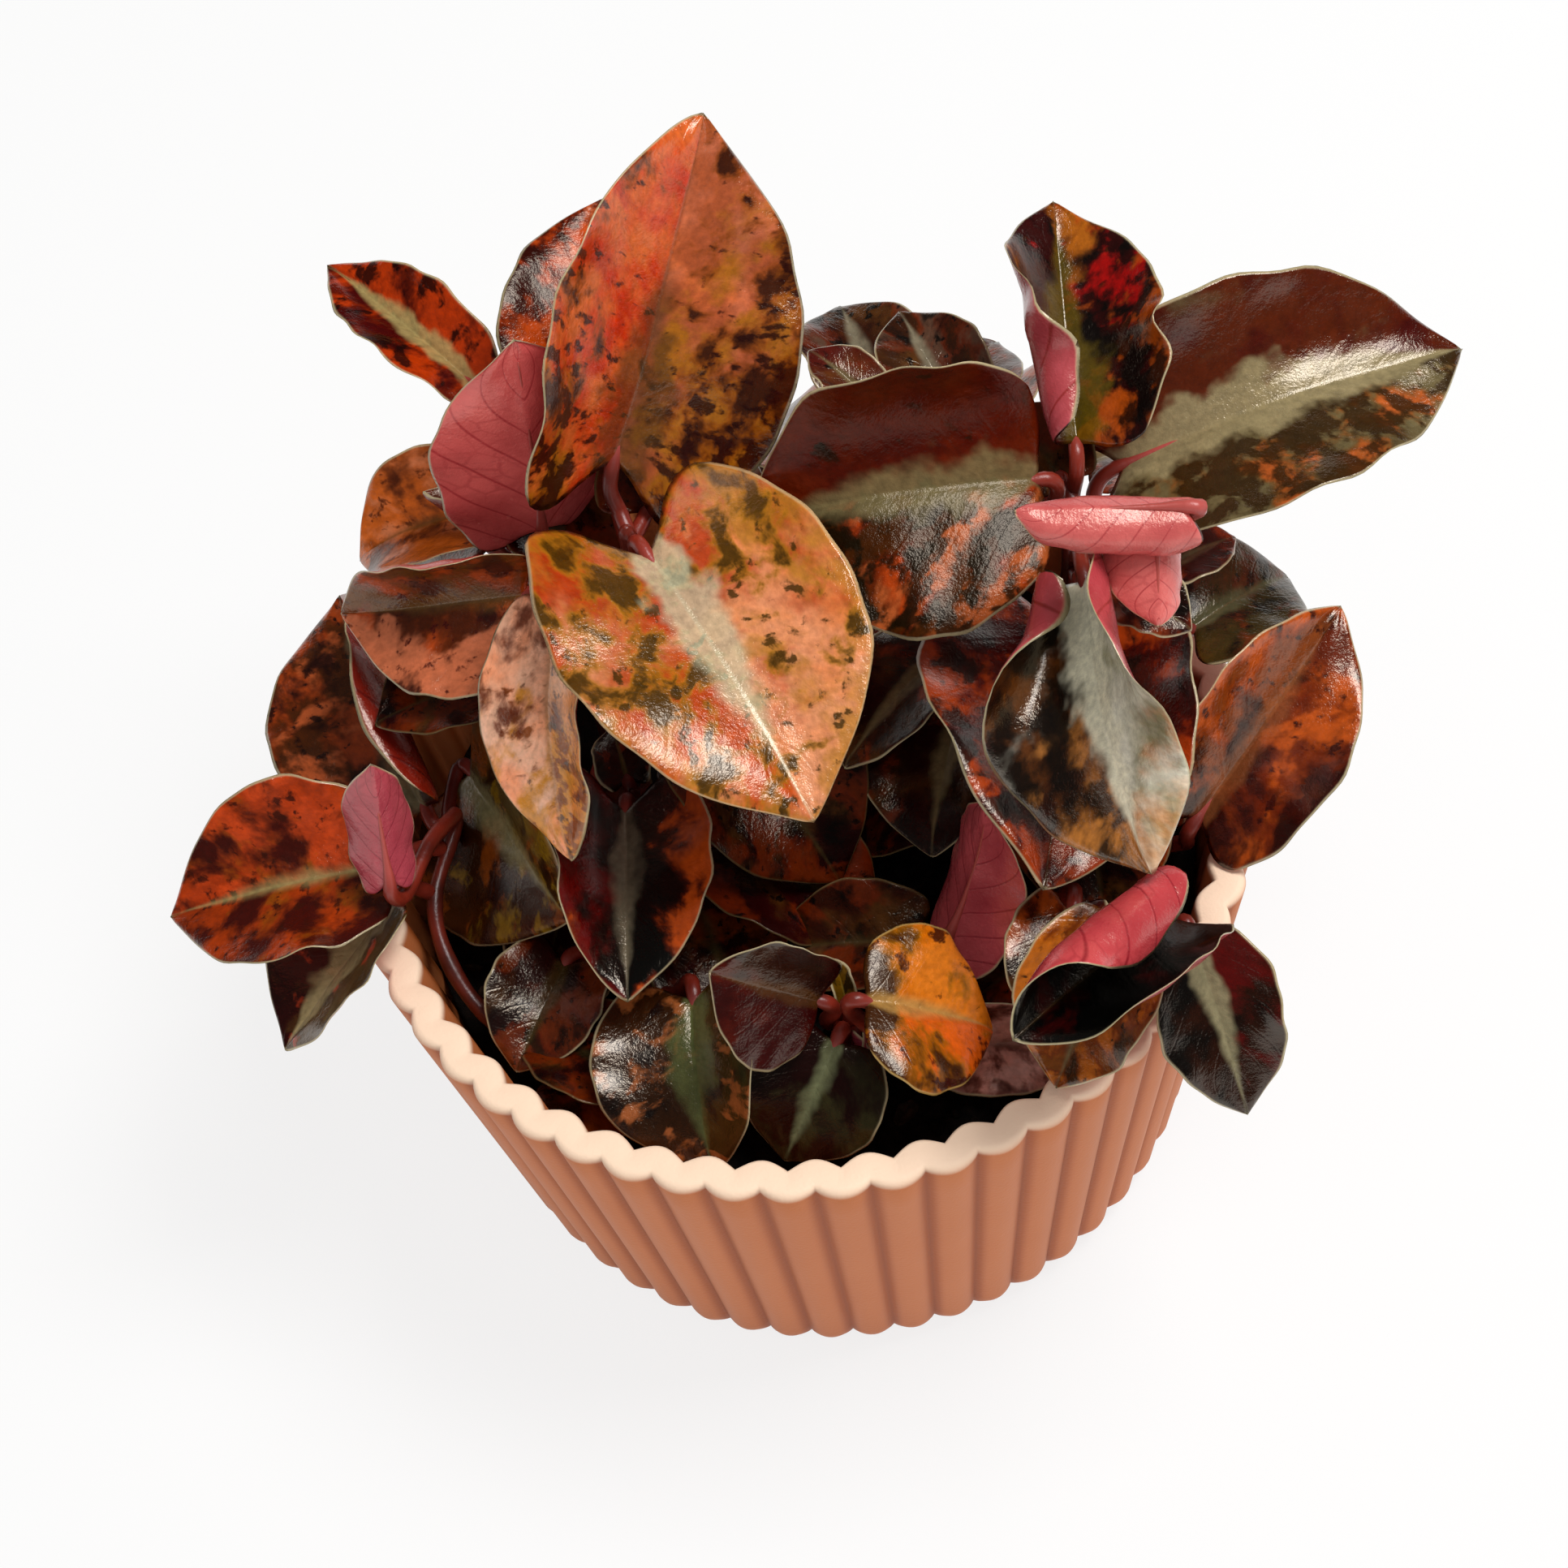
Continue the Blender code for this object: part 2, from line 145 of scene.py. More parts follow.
def noise(tree, place, scale, detail=4.0, roughness=0.55, distortion=0.0):
    """Cloudy values about 0.5; scale is the number of clouds in one unit of place."""
    node = tree.nodes.new("ShaderNodeTexNoise")
    feed(tree, node.inputs["Vector"], place)
    for name, value in (("Scale", scale), ("Detail", detail), ("Roughness", roughness),
                        ("Distortion", distortion)):
        feed(tree, node.inputs[name], value)
    return node.outputs[0]


def attribute(tree, name):
    """A number that the mesh keeps at each of its points."""
    node = tree.nodes.new("ShaderNodeAttribute")
    node.attribute_name = name
    return node.outputs["Fac"]


def object_place(tree):
    """Object coordinates: metres from the centre of the pot's base."""
    return tree.nodes.new("ShaderNodeTexCoord").outputs["Object"]


def new_group(name, inputs, outputs):
    """A node group with named sockets; inputs and outputs map each name to Float, Color or Vector."""
    tree = bpy.data.node_groups.new(name, "ShaderNodeTree")
    for side, sockets in (("INPUT", inputs), ("OUTPUT", outputs)):
        for label, kind in sockets.items():
            tree.interface.new_socket(label, in_out=side, socket_type="NodeSocket" + kind)
    return tree, tree.nodes.new("NodeGroupInput").outputs, tree.nodes.new("NodeGroupOutput").inputs


def use_group(tree, group, **values):
    """Place a group in a tree; an input is named with _ for each space in its label."""
    node = tree.nodes.new("ShaderNodeGroup")
    node.node_tree = group
    for label, value in values.items():
        feed(tree, node.inputs[label.replace("_", " ")], value)
    return node.outputs


def new_finish(name, **plain):
    """A material with its Principled shader; plain values are set on the shader's own sockets."""
    made = bpy.data.materials.new(name)
    made.use_nodes = True
    tree = made.node_tree
    shader = tree.nodes["Principled BSDF"]
    for label, value in plain.items():
        shader.inputs[label.replace("_", " ")].default_value = value
    return made, tree, shader.inputs


def bump(tree, height, strength, distance):
    """A normal that makes a height of 1 look as if it stood out by the distance, in metres."""
    node = tree.nodes.new("ShaderNodeBump")
    feed(tree, node.inputs["Height"], height)
    node.inputs["Strength"].default_value = strength
    node.inputs["Distance"].default_value = distance
    return node.outputs["Normal"]


print("a mid pink in linear light:", [round(v, 3) for v in linear("#C47D5C")])

# %% [markdown]
# ## Floor, world and lamp
#
# The plant stands on a plain white floor in soft studio light: one broad lamp overhead and to
# the right, which gives the waxy leaves their silvery shine, and a world that is brighter in
# front than behind, and a little brighter at these two ends than at the sides.
# Light Path makes the floor and the studio look white to the camera, in reflections and
# through clear things, while they light the plant only at a plain level. In reflections the
# white walls are low and the ceiling is nearly black, because a bright ceiling would lay a
# grey haze over every dark leaf.

# %% Floor and light
WORLD_LEVEL = 0.37
FRONT_SHARE = 0.27          # how much brighter the world is in front, and dimmer behind
ENDS_SHARE = 0.15           # how much brighter it is both in front and behind than at the sides
CEILING_LEVEL = 0.04        # how bright the ceiling is in a reflection, where the walls are 1
WALL_TOP, CEILING_EDGE = 0.02, 0.22     # the upward share of a ray's way where the walls end
FLOOR_HALF = 3.0            # metres from the middle of the floor to its sides
GLOW_SHARE = 0.8            # how much of the floor's white is glow where the plant stands
GLOW_NEAR, GLOW_FAR = 0.2, 1.2          # metres over which that share rises to 1


def seen_ray(tree):
    """1 where a ray comes from the camera, from a shiny surface or through a clear one."""
    path = tree.nodes.new("ShaderNodeLightPath").outputs
    shown = math(tree, "MAXIMUM", path["Is Camera Ray"], path["Is Glossy Ray"])
    return math(tree, "MAXIMUM", shown, path["Is Transmission Ray"])


def make_world():
    """Strength by a ray's way: level - front * y + ends * |y|, and white or the ceiling if seen."""
    world = bpy.data.worlds.new("studio")
    world.use_nodes = True
    tree = world.node_tree
    light = tree.nodes["Background"]
    light.inputs["Color"].default_value = (1, 1, 1, 1)
    way = tree.nodes.new("ShaderNodeSeparateXYZ")
    feed(tree, way.inputs[0], tree.nodes.new("ShaderNodeTexCoord").outputs["Generated"])
    shiny = tree.nodes.new("ShaderNodeLightPath").outputs["Is Glossy Ray"]
    ceiling = math(tree, "MULTIPLY", shiny, step(tree, way.outputs["Z"], WALL_TOP, CEILING_EDGE))
    shown = math(tree, "MULTIPLY_ADD", ceiling, CEILING_LEVEL - 1, 1)
    front = math(tree, "MULTIPLY_ADD", way.outputs["Y"], -FRONT_SHARE, WORLD_LEVEL)
    plain = math(tree, "MULTIPLY_ADD", math(tree, "ABSOLUTE", way.outputs["Y"]), ENDS_SHARE, front)
    level = math(tree, "MULTIPLY_ADD", seen_ray(tree), math(tree, "SUBTRACT", shown, plain), plain)
    feed(tree, light.inputs["Strength"], level)
    bpy.context.scene.world = world


def make_floor():
    """A flat white sheet: part of its white is a glow that only seen rays meet, the rest takes shadow.

    The glow's share rises from GLOW_SHARE near the plant to 1 far away, where the lamp is weak.
    """
    mesh = bpy.data.meshes.new("floor")
    corners = [(x * FLOOR_HALF, y * FLOOR_HALF, 0) for x, y in ((-1, -1), (1, -1), (1, 1), (-1, 1))]
    mesh.from_pydata(corners, [], [(0, 1, 2, 3)])
    made = bpy.data.objects.new("floor", mesh)
    bpy.context.scene.collection.objects.link(made)
    finish, tree, shader = new_finish("white_floor", Roughness=0.9, Specular_IOR_Level=0.1)
    shader["Base Color"].default_value = linear("#F7F6F4")
    glow = tree.nodes.new("ShaderNodeEmission")
    mixed = tree.nodes.new("ShaderNodeMixShader")
    away = tree.nodes.new("ShaderNodeVectorMath")
    away.operation = "LENGTH"
    feed(tree, away.inputs[0], object_place(tree))
    far = step(tree, away.outputs["Value"], GLOW_NEAR, GLOW_FAR)
    share = math(tree, "MULTIPLY_ADD", far, 1 - GLOW_SHARE, GLOW_SHARE)
    feed(tree, mixed.inputs[0], math(tree, "MULTIPLY", seen_ray(tree), share))
    feed(tree, mixed.inputs[1], tree.nodes["Principled BSDF"].outputs[0])
    feed(tree, mixed.inputs[2], glow.outputs[0])
    feed(tree, tree.nodes["Material Output"].inputs[0], mixed.outputs[0])
    mesh.materials.append(finish)


def make_lamp(name, place, target, size, power):
    """A square area lamp: its -Z axis is turned from its place towards the target."""
    data = bpy.data.lights.new(name, "AREA")
    data.size, data.energy = size, power
    made = bpy.data.objects.new(name, data)
    back = np.array(place, float) - np.array(target, float)
    back /= np.linalg.norm(back)
    side = np.cross([0.0, 1.0, 0.0], back)
    side /= np.linalg.norm(side)
    matrix = np.eye(4)
    matrix[:3, 0], matrix[:3, 1], matrix[:3, 2] = side, np.cross(back, side), back
    matrix[:3, 3] = place
    made.matrix_world = matrix.T.tolist()
    bpy.context.scene.collection.objects.link(made)


make_world()
make_floor()
make_lamp("key", place=(0.31, 0.02, 0.78), target=(0, 0, 0.07), size=0.34, power=4.8)
print("world level", WORLD_LEVEL)

# %% [markdown]
# ## From a grid of points to a closed mesh
#
# Every piece below is one or more grids of points. A grid closes on itself where its border
# points meet: points at the same place are welded into one, and triangles that lose a side in
# that way are dropped. A pole, a seam or a leaf's edge is then closed without a special case.

# %% Grids, welding and meshes
WELD = 1e-4                 # points nearer than this, in millimetres, are one point


def grid_triangles(rows, columns):
    """Two triangles for each cell of a grid whose points are numbered row by row."""
    corner = (np.arange(rows - 1)[:, None] * columns + np.arange(columns - 1)).ravel()
    first = np.stack([corner, corner + 1, corner + columns + 1], axis=-1)
    second = np.stack([corner, corner + columns + 1, corner + columns], axis=-1)
    return np.concatenate([first, second])


def volume(points, triangles):
    """Sum of the tetrahedra from the origin to each triangle: positive if the faces point out."""
    a, b, c = (points[triangles[:, i]] for i in range(3))
    return float(np.einsum("ij,ij->i", a, np.cross(b, c)).sum() / 6)


def weld(points, triangles):
    """Make points at one place the same point, drop triangles that have lost a side, and turn
    the faces out."""
    _, first, index = np.unique(np.round(points / WELD).astype(np.int64), axis=0,
                                return_index=True, return_inverse=True)
    triangles = index.reshape(-1)[triangles]
    a, b, c = triangles.T
    triangles = triangles[(a != b) & (b != c) & (c != a)]
    points = points[first]
    if volume(points - points.mean(0), triangles) < 0:
        triangles = triangles[:, ::-1]
    return points, triangles, first


def shell(*grids, **values):
    """Weld grids into one closed shell: points, triangles and the values kept at each point."""
    triangles, start = [], 0
    for grid in grids:
        triangles.append(grid_triangles(*grid.shape[:2]) + start)
        start += grid.shape[0] * grid.shape[1]
    points = np.concatenate([grid.reshape(-1, 3) for grid in grids])
    points, triangles, first = weld(points, np.concatenate(triangles))
    kept = {name: np.concatenate([np.ravel(part) for part in parts])[first]
            for name, parts in values.items()}
    return dict(points=points, triangles=triangles, values=kept)


def add_piece(name, shells, finishes, node=None):
    """Join shells into one mesh, one finish for each shell or one for all, and put it in the frame."""
    starts = np.cumsum([0] + [len(part["points"]) for part in shells[:-1]])
    points = np.concatenate([part["points"] for part in shells]) * MM
    faces = np.concatenate([part["triangles"] + start for part, start in zip(shells, starts)])
    mesh = bpy.data.meshes.new(name)
    mesh.from_pydata(points.tolist(), [], faces.tolist())
    for finish in finishes:
        mesh.materials.append(finish)
    which = np.concatenate([np.full(len(part["triangles"]), min(i, len(finishes) - 1))
                            for i, part in enumerate(shells)])
    mesh.polygons.foreach_set("material_index", which)
    for label in sorted({key for part in shells for key in part["values"]}):
        spread = np.concatenate([part["values"].get(label, np.zeros(len(part["points"])))
                                 for part in shells])
        mesh.attributes.new(label, "FLOAT", "POINT").data.foreach_set("value", spread)
    mesh.shade_smooth()
    made = bpy.data.objects.new(name, mesh)
    bpy.context.scene.collection.objects.link(made)
    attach(made, "root")
    if node:
        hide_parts(node)
    return made


def unit(arrow):
    """Arrows of length 1 in the same directions."""
    return arrow / np.linalg.norm(arrow, axis=-1, keepdims=True)


def smooth_path(points, count):
    """A Catmull-Rom curve through the given points at evenly spaced parameters."""
    points = np.asarray(points, float)
    padded = np.vstack([2 * points[0] - points[1], points, 2 * points[-1] - points[-2]])
    spot = np.linspace(0, len(points) - 1, count)
    start = np.minimum(spot.astype(int), len(points) - 2)
    t = (spot - start)[:, None]
    a, b, c, d = (padded[start + i] for i in range(4))
    return 0.5 * (2 * b + (c - a) * t + (2 * a - 5 * b + 4 * c - d) * t ** 2
                  + (3 * b - a - 3 * c + d) * t ** 3)


def tube(path, radius, reference, sides=16):
    """A round tube along a path, closed at both ends: circle points at radius about each
    point of the path, in the plane square to it."""
    tangent = unit(np.gradient(path, axis=0))
    side = unit(reference - (tangent @ reference)[:, None] * tangent)
    rise = np.cross(tangent, side)
    turn = np.linspace(0, 2 * np.pi, sides + 1)[None, :, None]
    circle = np.cos(turn) * side[:, None] + np.sin(turn) * rise[:, None]
    circle[:, -1] = circle[:, 0]
    rings = path[:, None] + np.reshape(radius, (-1, 1, 1)) * circle
    return np.concatenate([np.broadcast_to(path[0], rings[:1].shape), rings,
                           np.broadcast_to(path[-1], rings[:1].shape)])


ball = tube(np.array([[0, 0, -1.0], [0, 0, 0], [0, 0, 1]]), [0.1, 1, 0.1], np.array([1.0, 0, 0]))
print("a test tube closes with", len(shell(ball)["points"]), "points")

# %% [markdown]
# ## Reading a solid's rings
#
# A leaf's or stem's solid is a stack of rings of eight points that ends in one point, its tip.
# Counting edges from the tip sorts the points back into those rings: the first ring is one
# edge away, the next is two, and so on. That gives the line of each stem and stalk without
# repeating any coordinates here.

# %% Rings of a solid
RING_POINTS = 8


def solid_mesh(node):
    """A solid's points, each once and in millimetres, and its triangles."""
    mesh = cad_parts[node].data
    corners = np.empty(len(mesh.vertices) * 3)
    mesh.vertices.foreach_get("co", corners)
    used = np.empty(len(mesh.loops), int)
    mesh.loops.foreach_get("vertex_index", used)
    points, index = np.unique(np.round(corners.reshape(-1, 3) / MM, 3), axis=0, return_inverse=True)
    return points, index.reshape(-1)[used].reshape(-1, 3)


def solid_rings(node):
    """The rings of a solid, from its tip on: layers of points by their number of edges from it."""
    points, triangles = solid_mesh(node)
    linked = np.zeros((len(points), len(points)), bool)
    for a, b in ((0, 1), (1, 2), (2, 0)):
        linked[triangles[:, a], triangles[:, b]] = True
        linked[triangles[:, b], triangles[:, a]] = True
    for tip in np.flatnonzero(linked.sum(0) == RING_POINTS):
        reached = np.zeros(len(points), bool)
        reached[tip] = True
        rings = [np.flatnonzero(linked[tip])]
        while len(rings[-1]):
            reached[rings[-1]] = True
            rings.append(np.flatnonzero(linked[rings[-1]].any(0) & ~reached))
        if all(len(ring) == RING_POINTS for ring in rings[:-1]):
            return points[tip], [points[ring] for ring in rings[:-1]]
    raise ValueError(node + " isn't a stack of rings")


stems = sorted(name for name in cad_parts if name.endswith("_stem"))
print("rings of each stem:", {name: len(solid_rings(name)[1]) for name in stems})

# %% [markdown]
# ## The shape of a leaf
#
# Each blade is one bent surface over two shares: u runs along the midrib and v from the right
# margin to the left one. The outline is a sine that is squeezed towards the base, every row
# is an arc, and the rows follow a bent midrib. The solids were made with this same surface,
# coarsely, so a fine leaf can be laid over its solid without copying any points.

# %% Blade surface
RING_V = np.array([-1.0, -0.55, 0.0, 0.55, 1.0])             # across a ring of a solid's blade
RING_U = np.array([0.0, 0.08, 0.22, 0.4, 0.6, 0.8, 0.93])    # where its rings lie
SOLID_THICKNESS = 0.9       # millimetres at the midrib
NEARLY_FLAT = 0.01          # degrees added to a bend, so that a flat row has a radius too
WIDEST = 0.42               # share of the length where a blade is widest
BASE_SHORT = 0.12           # share that its outline is cut short by at the base
SOLID_FULL, FINE_FULL = (0.8, 0.2), (0.70, 0.12)
FINE_LOBE, LEAST_LOBE = 1.25, 0.03      # a fine blade's lobe: the solid's times one, plus the other
TIP_REACH = 0.13            # share of the length over which the tip is drawn out


def shape(heading, rise, roll, length, width, arch=25, curl=(30, 30), fold=8, lobe=0.14, twist=0,
          tip=0.15, ear=0.0, rolls=()):
    """Angles in degrees and lengths in millimetres: where the leaf points, and how it bends.

    curl is for the left and the right half. tip draws the tip out, and ear the lobes at the base.
    Each roll of a margin is (side, place along u, its spread, the |v| where it starts, angle).
    """
    return dict(heading=heading, rise=rise, roll=roll, length=length, width=width, arch=arch,
                curl=curl, fold=fold, lobe=lobe, twist=twist, tip=tip, ear=ear, rolls=rolls)


def half_width(u, full=SOLID_FULL):
    """sin(pi * place^power)^(a + b u): a share of half the width, not yet zero at the base.

    full is (a, b): a smaller a makes a fuller blade, and b sharpens its tip.
    """
    power = np.log(0.5) / np.log((WIDEST + BASE_SHORT) / (1 + BASE_SHORT))
    place = (u + BASE_SHORT) / (1 + BASE_SHORT)
    return np.sin(np.pi * np.clip(place, 0, 1) ** power).clip(0) ** (full[0] + full[1] * u)


def leaf_axes(spec):
    """Unit directions along the midrib, to the blade's left and out of its upper face."""
    heading, rise, roll = np.radians([spec["heading"], spec["rise"], spec["roll"]])
    forward = np.array([np.cos(heading) * np.cos(rise), np.sin(heading) * np.cos(rise), np.sin(rise)])
    level = np.array([-np.sin(heading), np.cos(heading), 0.0])
    left = np.cos(roll) * level + np.sin(roll) * np.cross(forward, level)
    return np.array([forward, left, np.cross(forward, left)])


def lobed(u, v, lobe):
    """How far along a point of row u lies: u - lobe * |v|^1.5 * (1 - u)^2.2."""
    return u - lobe * np.abs(v) ** 1.5 * (1 - u) ** 2.2


def ride_midrib(spec, reach, y, z):
    """Carry rows drawn in the plane across the leaf along a midrib that bends by arch and twists."""
    length = spec["length"]
    turn = np.radians(spec["twist"]) * reach
    y, z = y * np.cos(turn) - z * np.sin(turn), y * np.sin(turn) + z * np.cos(turn)
    arch = np.radians(spec["arch"] + NEARLY_FLAT)
    bend = arch * reach
    x = length / arch * np.sin(bend) + z * np.sin(bend)
    z = length / arch * (np.cos(bend) - 1) + z * np.cos(bend)
    return np.stack([x, y, z], axis=-1) @ leaf_axes(spec)


def blade(spec, u, v):
    """Middle surface of a blade with its base at the origin, as the solids have it.

    Each half of a row is an arc of radius half / curl that starts at the fold's angle.
    """
    half, fold = spec["width"] / 2, np.radians(spec["fold"])
    reach = lobed(u, v, spec["lobe"])
    out = np.abs(v) * half_width(u)
    curl = np.radians(np.where(v > 0, *spec["curl"]) + NEARLY_FLAT)
    y = half / curl * (np.sin(fold + curl * out) - np.sin(fold)) * np.sign(v)
    z = half / curl * (np.cos(fold) - np.cos(fold + curl * out))
    return ride_midrib(spec, reach, y, z)


def fine_blade(spec, u, v):
    """The same surface with rounder lobes and rolled margins, on a whole grid of rows.

    The slope of a row turns by curl along its way, and by a roll's own angle past the share
    where the roll starts: angle * (|v| - start) / (1 - start) * exp(-((u - at) / spread)^2).
    y and z are the running sums of its cosine and sine.
    """
    half, middle = spec["width"] / 2, u.shape[1] // 2
    reach = lobed(u, v, FINE_LOBE * spec["lobe"] + LEAST_LOBE + spec["ear"])
    width = half_width(u, FINE_FULL) * (1 - spec["tip"] * np.exp(-((1 - u) / TIP_REACH) ** 2))
    out = np.abs(v) * width
    slope = np.radians(spec["fold"]) + np.radians(np.where(v > 0, *spec["curl"])) * out
    for side, at, spread, start, angle in spec["rolls"]:
        share = np.clip((side * v - start) / (1 - start), 0, 1)
        slope = slope + np.radians(angle) * share * np.exp(-((u - at) / spread) ** 2)
    step_out, between = np.diff(np.sign(v) * out, axis=1), (slope[:, 1:] + slope[:, :-1]) / 2
    rise = np.where(v[:, 1:] > 0, 1, -1) * np.sin(between)
    y, z = (half * np.pad(np.cumsum(step_out * part, axis=1), ((0, 0), (1, 0)))
            for part in (np.cos(between), rise))
    return ride_midrib(spec, reach, y - y[:, middle:middle + 1], z - z[:, middle:middle + 1])


def blade_normal(surface):
    """Square to the rows and columns of a grid of points, out of the upper face."""
    return unit(np.cross(np.gradient(surface, axis=0), np.gradient(surface, axis=1)))


sample = shape(52, 44, 51, 40, 35)
sample_apex = blade(sample, np.array([1.0]), np.array([0.0]))[0]
print("a 40 mm blade ends", sample_apex.round(1), "from its base")

# %% [markdown]
# ## Seating a leaf on its solid
#
# The coarse leaf is worked out again with its base at the origin. The step from its apex to
# the solid's tip is where the leaf belongs, and the largest distance that is left over between
# the two sets of points says how well the shape agrees.

# %% Seat
def coarse_leaf(spec):
    """The solid's own rings round the blade, and its apex."""
    u, v = np.meshgrid(RING_U, RING_V, indexing="ij")
    middle = blade(spec, u, v)
    half = SOLID_THICKNESS / 2 * (1 - RING_V ** 2)[None, :, None] * blade_normal(middle)
    rings = np.concatenate([middle + half, (middle - half)[:, -2:0:-1]], axis=1)
    return rings.reshape(-1, 3), blade(spec, np.array([1.0]), np.array([0.0]))[0]


def seat_leaf(node, spec):
    """Where the blade's base lies, the stalk's line from the stem up, and the misfit."""
    tip, rings = solid_rings(node)
    points, apex = coarse_leaf(spec)
    base = tip - apex
    solid = np.concatenate(rings)
    gaps = np.linalg.norm((points + base)[:, None] - solid[None], axis=-1).min(1)
    stalk = np.array([ring.mean(0) for ring in rings[:len(RING_U) - 1:-1]])
    return base, stalk, gaps.max()


# %% [markdown]
# ## A fine leaf
#
# The blade is a thin closed shell: the upper face, then the under face, meeting in a soft
# rounded margin. Its base corners are rounded off, its margin waves, the midrib lies in a
# groove, and the stretches between the side veins swell a little. The stalk is a tube that
# runs on under the blade as the raised rib. Each point keeps numbers for the finish: where on
# the leaf it is, as shares u and v and as millimetres x and y, on which face, and how near
# the margin.

# %% Leaf shells
ROWS, COLUMNS = 44, 29
VEINS = 5.5                 # side veins along each half
VEIN_SLANT = 0.38           # how far a side vein runs forward on its way to the margin
FULL_TURN = 6.3             # a wave's phase is drawn up to this angle
FRILL_LENGTH, RELIEF_LENGTH = 48, 30    # blade lengths at which frill and relief are as written
MARGIN_DROP = 0.3           # millimetres on a blade of that length, as the next four are
SWELLING, GROOVE = 0.09, 0.30
LONG_RIPPLE, SHORT_RIPPLE = 0.22, 0.08
GROOVE_SHARE = 0.06         # half the groove's width, as a share of the blade's half width
EDGE_HALF, BODY_HALF = 0.13, 0.26       # half the thickness at the margin, and what the midrib adds
CORNER_START, CORNER_CUT = 0.45, 0.09   # |v| where a base corner starts, and how far it is cut
RIM_FADE = 0.3              # millimetres over which the margin's colour fades
STALK_STEPS, STALK_SIDES, ROOT_DEPTH = 44, 10, 1.1
STALK_KNOTS = [0, 4.2, 5, 6, 7, 9, 13]              # along the stalk, then the rib
STALK_RADII = [0.95, 0.9, 0.68, 0.46, 0.34, 0.22, 0.1]
RIB_DEPTH, RIB_LEAST, RIB_SINK = 0.4, 0.12, 0.12    # how far the rib's line lies under the blade


def leaf_grid():
    """Shares u and v, closer together at the base, the tip, the midrib and the margins."""
    t = np.linspace(0, 1, ROWS)
    s = np.linspace(-1, 1, COLUMNS)
    across = s - 0.6 * np.sin(2 * np.pi * s) / (2 * np.pi)
    return np.meshgrid(t - 0.05 * np.sin(2 * np.pi * t), across, indexing="ij")


def waves(u, v, counts, rng):
    """Sum of sin(2 pi n u + phase) / sqrt(n), different on the two halves, gone at base and tip."""
    total = sum(np.sin(2 * np.pi * count * u + phase + 1.6 * np.sign(v)) / count ** 0.5
                for count, phase in zip(counts, rng.uniform(0, FULL_TURN, 3)))
    return total * np.sin(np.pi * np.clip(u, 0, 1)) ** 0.5


def margin_wave(spec, u, v, look, rng):
    """How far the margin steps out of or into the outline, in millimetres."""
    size = look["frill"] * spec["length"] / FRILL_LENGTH
    return size * v * np.abs(v) ** 4 * waves(u, v, (2.3, 3.7, 6.1), rng)


def relief(spec, u, v, look, rng):
    """Height above the smooth blade in millimetres: margin wave, swellings, groove and ripples."""
    size = spec["length"] / RELIEF_LENGTH
    margin = look["frill"] * size * np.abs(v) ** 2.5 * waves(u, v, (1.7, 2.9, 4.6), rng)
    margin -= MARGIN_DROP * size * np.abs(v) ** 9
    vein_wave = np.cos(2 * np.pi * VEINS * (u - VEIN_SLANT * np.abs(v)))
    swell = SWELLING * size * vein_wave * np.abs(v) ** 0.6
    swell = swell * np.sin(np.pi * np.clip(u * 1.1, 0, 1)) * (1 - np.abs(v) ** 6)
    groove = -GROOVE * size ** 0.5 * np.exp(-(v * half_width(u) / GROOVE_SHARE) ** 2) * (1 - u)
    a, b, c, d = rng.uniform(0, FULL_TURN, 4)
    ripple = LONG_RIPPLE * size * np.sin(3.1 * v + 4.7 * u + a) * np.sin(7.3 * u - 2.2 * v + b)
    ripple += SHORT_RIPPLE * size * np.sin(9 * v + 6 * u + c) * np.sin(13 * u - 5 * v + d)
    return margin + swell + groove + ripple * (1 - np.abs(v) ** 8)


def blade_shell(spec, base, look, seed):
    """Two skins at half the thickness each side of the blade, which meet all along its outline."""
    rng = np.random.default_rng(seed)
    u, v = leaf_grid()
    corner = np.clip((np.abs(v) - CORNER_START) / (1 - CORNER_START), 0, 1)
    along = u + (1 - u) ** 3 * CORNER_CUT * (1 - np.sqrt(1 - corner ** 2))
    middle = fine_blade(spec, along, v)
    normal = blade_normal(middle)
    normal[-1] = normal[-2, COLUMNS // 2]
    middle = middle + base + relief(spec, along, v, look, rng)[..., None] * normal
    middle += margin_wave(spec, along, v, look, rng)[..., None] * leaf_axes(spec)[1]
    half = (EDGE_HALF + BODY_HALF * (1 - v ** 2)) * np.sqrt(np.clip(1 - np.abs(v) ** 12, 0, 1))
    half = (half * np.sqrt(np.clip((1 - u) * 12, 0, 1) * np.clip(u * 30, 0, 1)))[..., None]
    across = spec["width"] / 2 * half_width(along, FINE_FULL)
    rim = np.exp(-np.minimum(across * (1 - np.abs(v)), (1 - u) * spec["length"]) / RIM_FADE)
    kept = dict(u=along, v=v, x=along * spec["length"], y=v * across, rim=rim)
    return shell(middle + half * normal, (middle - half * normal)[::-1],
                 side=(np.ones_like(u), np.zeros_like(u)),
                 **{name: (value, value[::-1]) for name, value in kept.items()})


